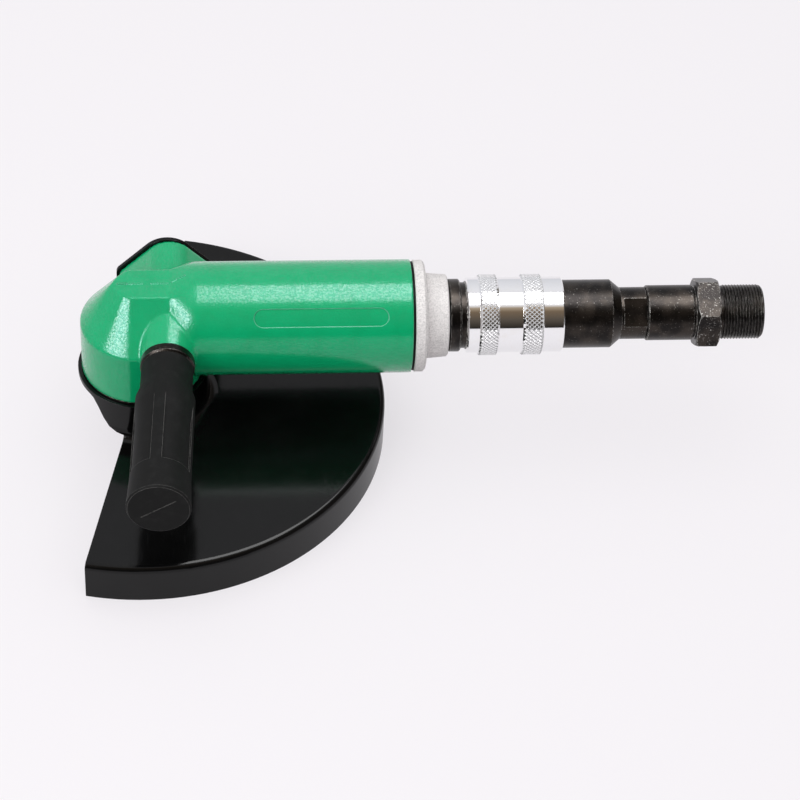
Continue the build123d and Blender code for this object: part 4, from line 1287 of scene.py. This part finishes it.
@dataclass
class HoseBush(Assembly):
    """Hose bush: barrel, hexagon and hose thread."""

    node: ClassVar[str] = "inlet_bush"
    body: ClassVar[str] = "tool_body"
    slot: ClassVar[str] = "black_oxide"
    crease: ClassVar[float] = 30.0

    spigot: Pair = (240.0, 9.6)
    barrel_x: Pair = (249.0, 272.3)
    barrel_r: float = 13.7
    neck_r: float = 12.6
    hex_x: Pair = (273.3, 284.8)
    hex_flats: float = 32.0
    hex_turn: float = -4.8
    hex_chamfer_r: float = 16.4
    relief_r: float = 12.2
    thread: Thread = Thread(major=13.5, pitch=1.5, x=(287.0, 307.0), chamfer=1.3)
    core: Pair = (300.0, 10.0)
    bores: Pairs = ((262.0, 7.0), (320.0, 9.0))
    edge: float = 0.5
    lap: float = 0.5
    spare: float = 0.01

    def hexagon(self) -> Piece:
        """Hexagon with turned corners.

        Returns:
            The hexagon.
        """
        (x0, x1), corner = self.hex_x, self.hex_flats / math.sqrt(3)
        hexagon = Bench.rod("hexagon", (x0, 0, MOTOR_Z), (1, 0, 0), corner, x1 - x0, sides=6,
                            twist=self.hex_turn)
        slope = (corner - self.hex_chamfer_r) * math.tan(math.radians(30))
        first, last, outside = x0 - self.spare, x1 + self.spare, corner + self.spare
        turned = Bench.turned("corners", Axis.MOTOR, [
            (first, 0), (first, self.hex_chamfer_r), (x0 + slope, outside), (x1 - slope, outside),
            (last, self.hex_chamfer_r), (last, 0)], steps=120)
        Bench.combine(hexagon, turned, Join.KEEP)
        return hexagon

    def model(self) -> Piece:
        """Turn the bush, add hexagon and thread, and bore it.

        Returns:
            The bush.
        """
        (spigot_x, spigot_r), (x0, x1), (core_x, core_r) = self.spigot, self.barrel_x, self.core
        edge_r = self.barrel_r - self.edge
        neck_x, relief_x = self.hex_x[1] - self.lap, self.thread.x[0] + self.lap
        bush = Bench.turned("hose_bush", Axis.MOTOR, [
            (spigot_x, 0), (spigot_x, spigot_r), (x0, spigot_r), (x0, edge_r),
            (x0 + self.edge, self.barrel_r), (x1 - self.edge, self.barrel_r), (x1, edge_r),
            (x1, self.neck_r), (neck_x, self.neck_r), (neck_x, self.relief_r), (relief_x, self.relief_r),
            (relief_x, core_r), (core_x, core_r), (core_x, 0)], steps=96)
        Bench.combine(bush, self.hexagon(), Join.ADD)
        Bench.combine(bush, self.thread.model(), Join.ADD)
        (step, narrow), (end, wide) = self.bores
        start = spigot_x - self.lap
        bore = Bench.turned("bore", Axis.MOTOR, [
            (start, 0), (start, narrow), (step, narrow), (step, wide), (end, wide), (end, 0)], steps=64)
        Bench.combine(bush, bore, Join.CUT)
        return bush


@dataclass
class ProductCamera:
    """Camera at the viewing angle of a catalogue shot."""

    target: Point = (129.3, 0.0, 1.35)
    distance: float = 1512.73
    elevation: float = 43.683
    azimuth: float = -5.796
    roll: float = 3.172
    focal_px: float = 2980.18
    image_px: float = 800.0
    sensor: float = 36.0
    clip: float = 0.01

    def build(self) -> None:
        """Add the camera and make it the scene's."""
        lift, turn, roll = (math.radians(angle) for angle in (self.elevation, self.azimuth, self.roll))
        back = Vector((math.sin(turn) * math.cos(lift), -math.cos(turn) * math.cos(lift), math.sin(lift)))
        right = (-back).cross(Vector((0, 0, 1))).normalized()
        up = back.cross(right)
        tilted_right = right * math.cos(roll) + up * math.sin(roll)
        tilted_up = up * math.cos(roll) - right * math.sin(roll)
        data = bpy.data.cameras.new("camera")
        data.sensor_width = self.sensor
        data.lens = self.focal_px * self.sensor / self.image_px
        data.clip_start = self.clip
        camera = bpy.data.objects.new("camera", data)
        bpy.context.scene.collection.objects.link(camera)
        turned = Matrix((tilted_right, tilted_up, back)).transposed().to_4x4()
        camera.matrix_world = Matrix.Translation(metres(self.target) + back * self.distance * MM) @ turned
        bpy.context.scene.camera = camera


@dataclass(frozen=True)
class Softbox:
    """Rectangular studio light."""

    name: str
    centre: Point
    size: Pair
    radiance: float
    mirrored: bool
    target: Point = (0.0, 0.0, MOTOR_Z)

    def build(self) -> None:
        """Hang the light; it either lights the surfaces or shows in their gloss."""
        data = bpy.data.lights.new(self.name, "AREA")
        data.shape = "RECTANGLE"
        data.size, data.size_y = self.size
        data.energy = self.radiance * math.pi * data.size * data.size_y
        light = bpy.data.objects.new(self.name, data)
        bpy.context.scene.collection.objects.link(light)
        light.location = metres(self.centre)
        light.rotation_euler = (Vector(self.centre) - Vector(self.target)).to_track_quat("Z", "Y").to_euler()
        light.visible_glossy = self.mirrored
        light.visible_diffuse = not self.mirrored


@dataclass
class Studio:
    """Pale floor, soft lights overhead, in front and at the left, and a room that is dark low in front."""

    floor_z: float = -12.5
    floor_half: float = 6.0
    floor_colour: Colour = (0.93, 0.905, 0.93)
    shown_floor: Colour = (0.914, 0.888, 0.921)
    bounce_colour: Colour = (0.55, 0.535, 0.55)
    even: float = 0.7
    ambient: float = 0.86
    low_fill: Colour = (0.02, 0.02, 0.02)
    lamps: tuple[Softbox, ...] = (
        Softbox("overhead_key", (40.0, 160.0, 1010.0), (1.1, 1.0), 0.6, False, (40.0, 160.0, 0.0)),
        Softbox("overhead_gloss", (305.0, 30.0, 960.0), (0.58, 0.6), 6.8, True, (305.0, 30.0, 0.0)),
        Softbox("front_key", (150.0, -1000.0, 900.0), (1.2, 0.6), 0.6, False, (120.0, 0.0, MOTOR_Z)),
        Softbox("left_key", (-760.0, -840.0, 790.0), (1.2, 0.5), 3.2, False),
        Softbox("left_gloss", (-814.0, -660.0, 740.0), (0.72, 0.5), 12.5, True),
    )
    room_stops: tuple[tuple[float, Colour], ...] = (
        (-4.0, (0.9, 0.88, 0.91)), (0.0, (0.02, 0.018, 0.016)), (6.0, (0.04, 0.034, 0.028)),
        (26.0, (0.1, 0.083, 0.066)), (50.0, (0.18, 0.13, 0.085)), (62.0, (0.4, 0.32, 0.23)),
        (70.0, (0.9, 0.89, 0.9)), (126.0, (0.85, 0.85, 0.88)), (180.0, (0.7, 0.71, 0.75)))
    right_wall: Colour = (0.16, 0.14, 0.12)
    wall_from: Pair = (0.4, 0.75)
    fill_from: Pair = (0.2, 0.6)

    def build(self) -> None:
        """Set the floor, the lights and the room."""
        self.floor()
        for lamp in self.lamps:
            lamp.build()
        self.room()
        bpy.context.scene.view_settings.view_transform = "Standard"

    @staticmethod
    def shown(graph: Graph) -> Wire:
        """Tell what is seen from what only lights other surfaces.

        Args:
            graph: Nodes of the floor or of the world.

        Returns:
            1 where it is seen by the camera, in gloss or through glass, 0 where it only lights.
        """
        path = graph.node("ShaderNodeLightPath").socket.node
        seen, mirrored, through = (Wire(graph, path.outputs[name]) for name in (
            "Is Camera Ray", "Is Glossy Ray", "Is Transmission Ray"))
        return graph.node("ShaderNodeMath", {"operation": "MAXIMUM"}, {0: seen, 1: mirrored + through})

    def floor(self) -> None:
        """Wide pale floor that keeps soft shadows."""
        Bench.clear()
        bpy.ops.mesh.primitive_plane_add(size=2 * self.floor_half, location=(0, 0, self.floor_z * MM))
        floor = Bench.take("floor")
        material = bpy.data.materials.new("floor")
        material.use_nodes = True
        graph = Graph(material.node_tree)
        seen = self.shown(graph)
        colour = graph.blend(seen, self.bounce_colour, self.floor_colour)
        paper = graph.node("ShaderNodeBsdfDiffuse", sockets={"Color": colour})
        bright = graph.node("ShaderNodeEmission", sockets={"Color": self.shown_floor, "Strength": 1.0})
        mixed = graph.node("ShaderNodeMixShader", sockets={0: seen * self.even, 1: paper, 2: bright})
        graph.node("ShaderNodeOutputMaterial", sockets={"Surface": mixed})
        floor.data.materials.append(material)

    def room(self) -> None:
        """World: soft fill for the shading, and the room where it is seen or mirrored."""
        world = bpy.data.worlds.new("studio")
        bpy.context.scene.world = world
        world.use_nodes = True
        graph = Graph(world.node_tree)
        way = graph.node("ShaderNodeTexCoord", out="Generated")
        right, across, rise = (graph.node("ShaderNodeSeparateXYZ", sockets={"Vector": way}, out=axis)
                               for axis in "XYZ")
        angle = graph.node("ShaderNodeMath", {"operation": "ARCTAN2"}, {0: rise, 1: across * -1.0})
        share = angle * (0.5 / math.pi) + 0.5
        room = graph.ramp(share, [(0.5 + stop / 360, colour) for stop, colour in self.room_stops])
        room = graph.blend(right.step(*self.wall_from), room, self.right_wall)
        soft = graph.blend(rise.step(*self.fill_from), self.low_fill, (1.0, 1.0, 1.0))
        fill = graph.node("ShaderNodeBackground", sockets={"Color": soft, "Strength": self.ambient})
        shown = graph.node("ShaderNodeBackground", sockets={"Color": room, "Strength": 1.0})
        mixed = graph.node("ShaderNodeMixShader", sockets={0: self.shown(graph), 1: fill, 2: shown})
        graph.node("ShaderNodeOutputWorld", sockets={"Surface": mixed})


def main() -> None:
    """Build the scene."""
    logging.basicConfig(level=logging.INFO, format="%(message)s")
    Studio().build()
    ProductCamera().build()
    dress_nodes(frame["nodes"], frame["record"]["subparts"])
    for assembly in (Casting(), Grip(), ThrottleSleeve(), HoseBush()):
        assembly.build()


if __name__ == "__main__":
    main()
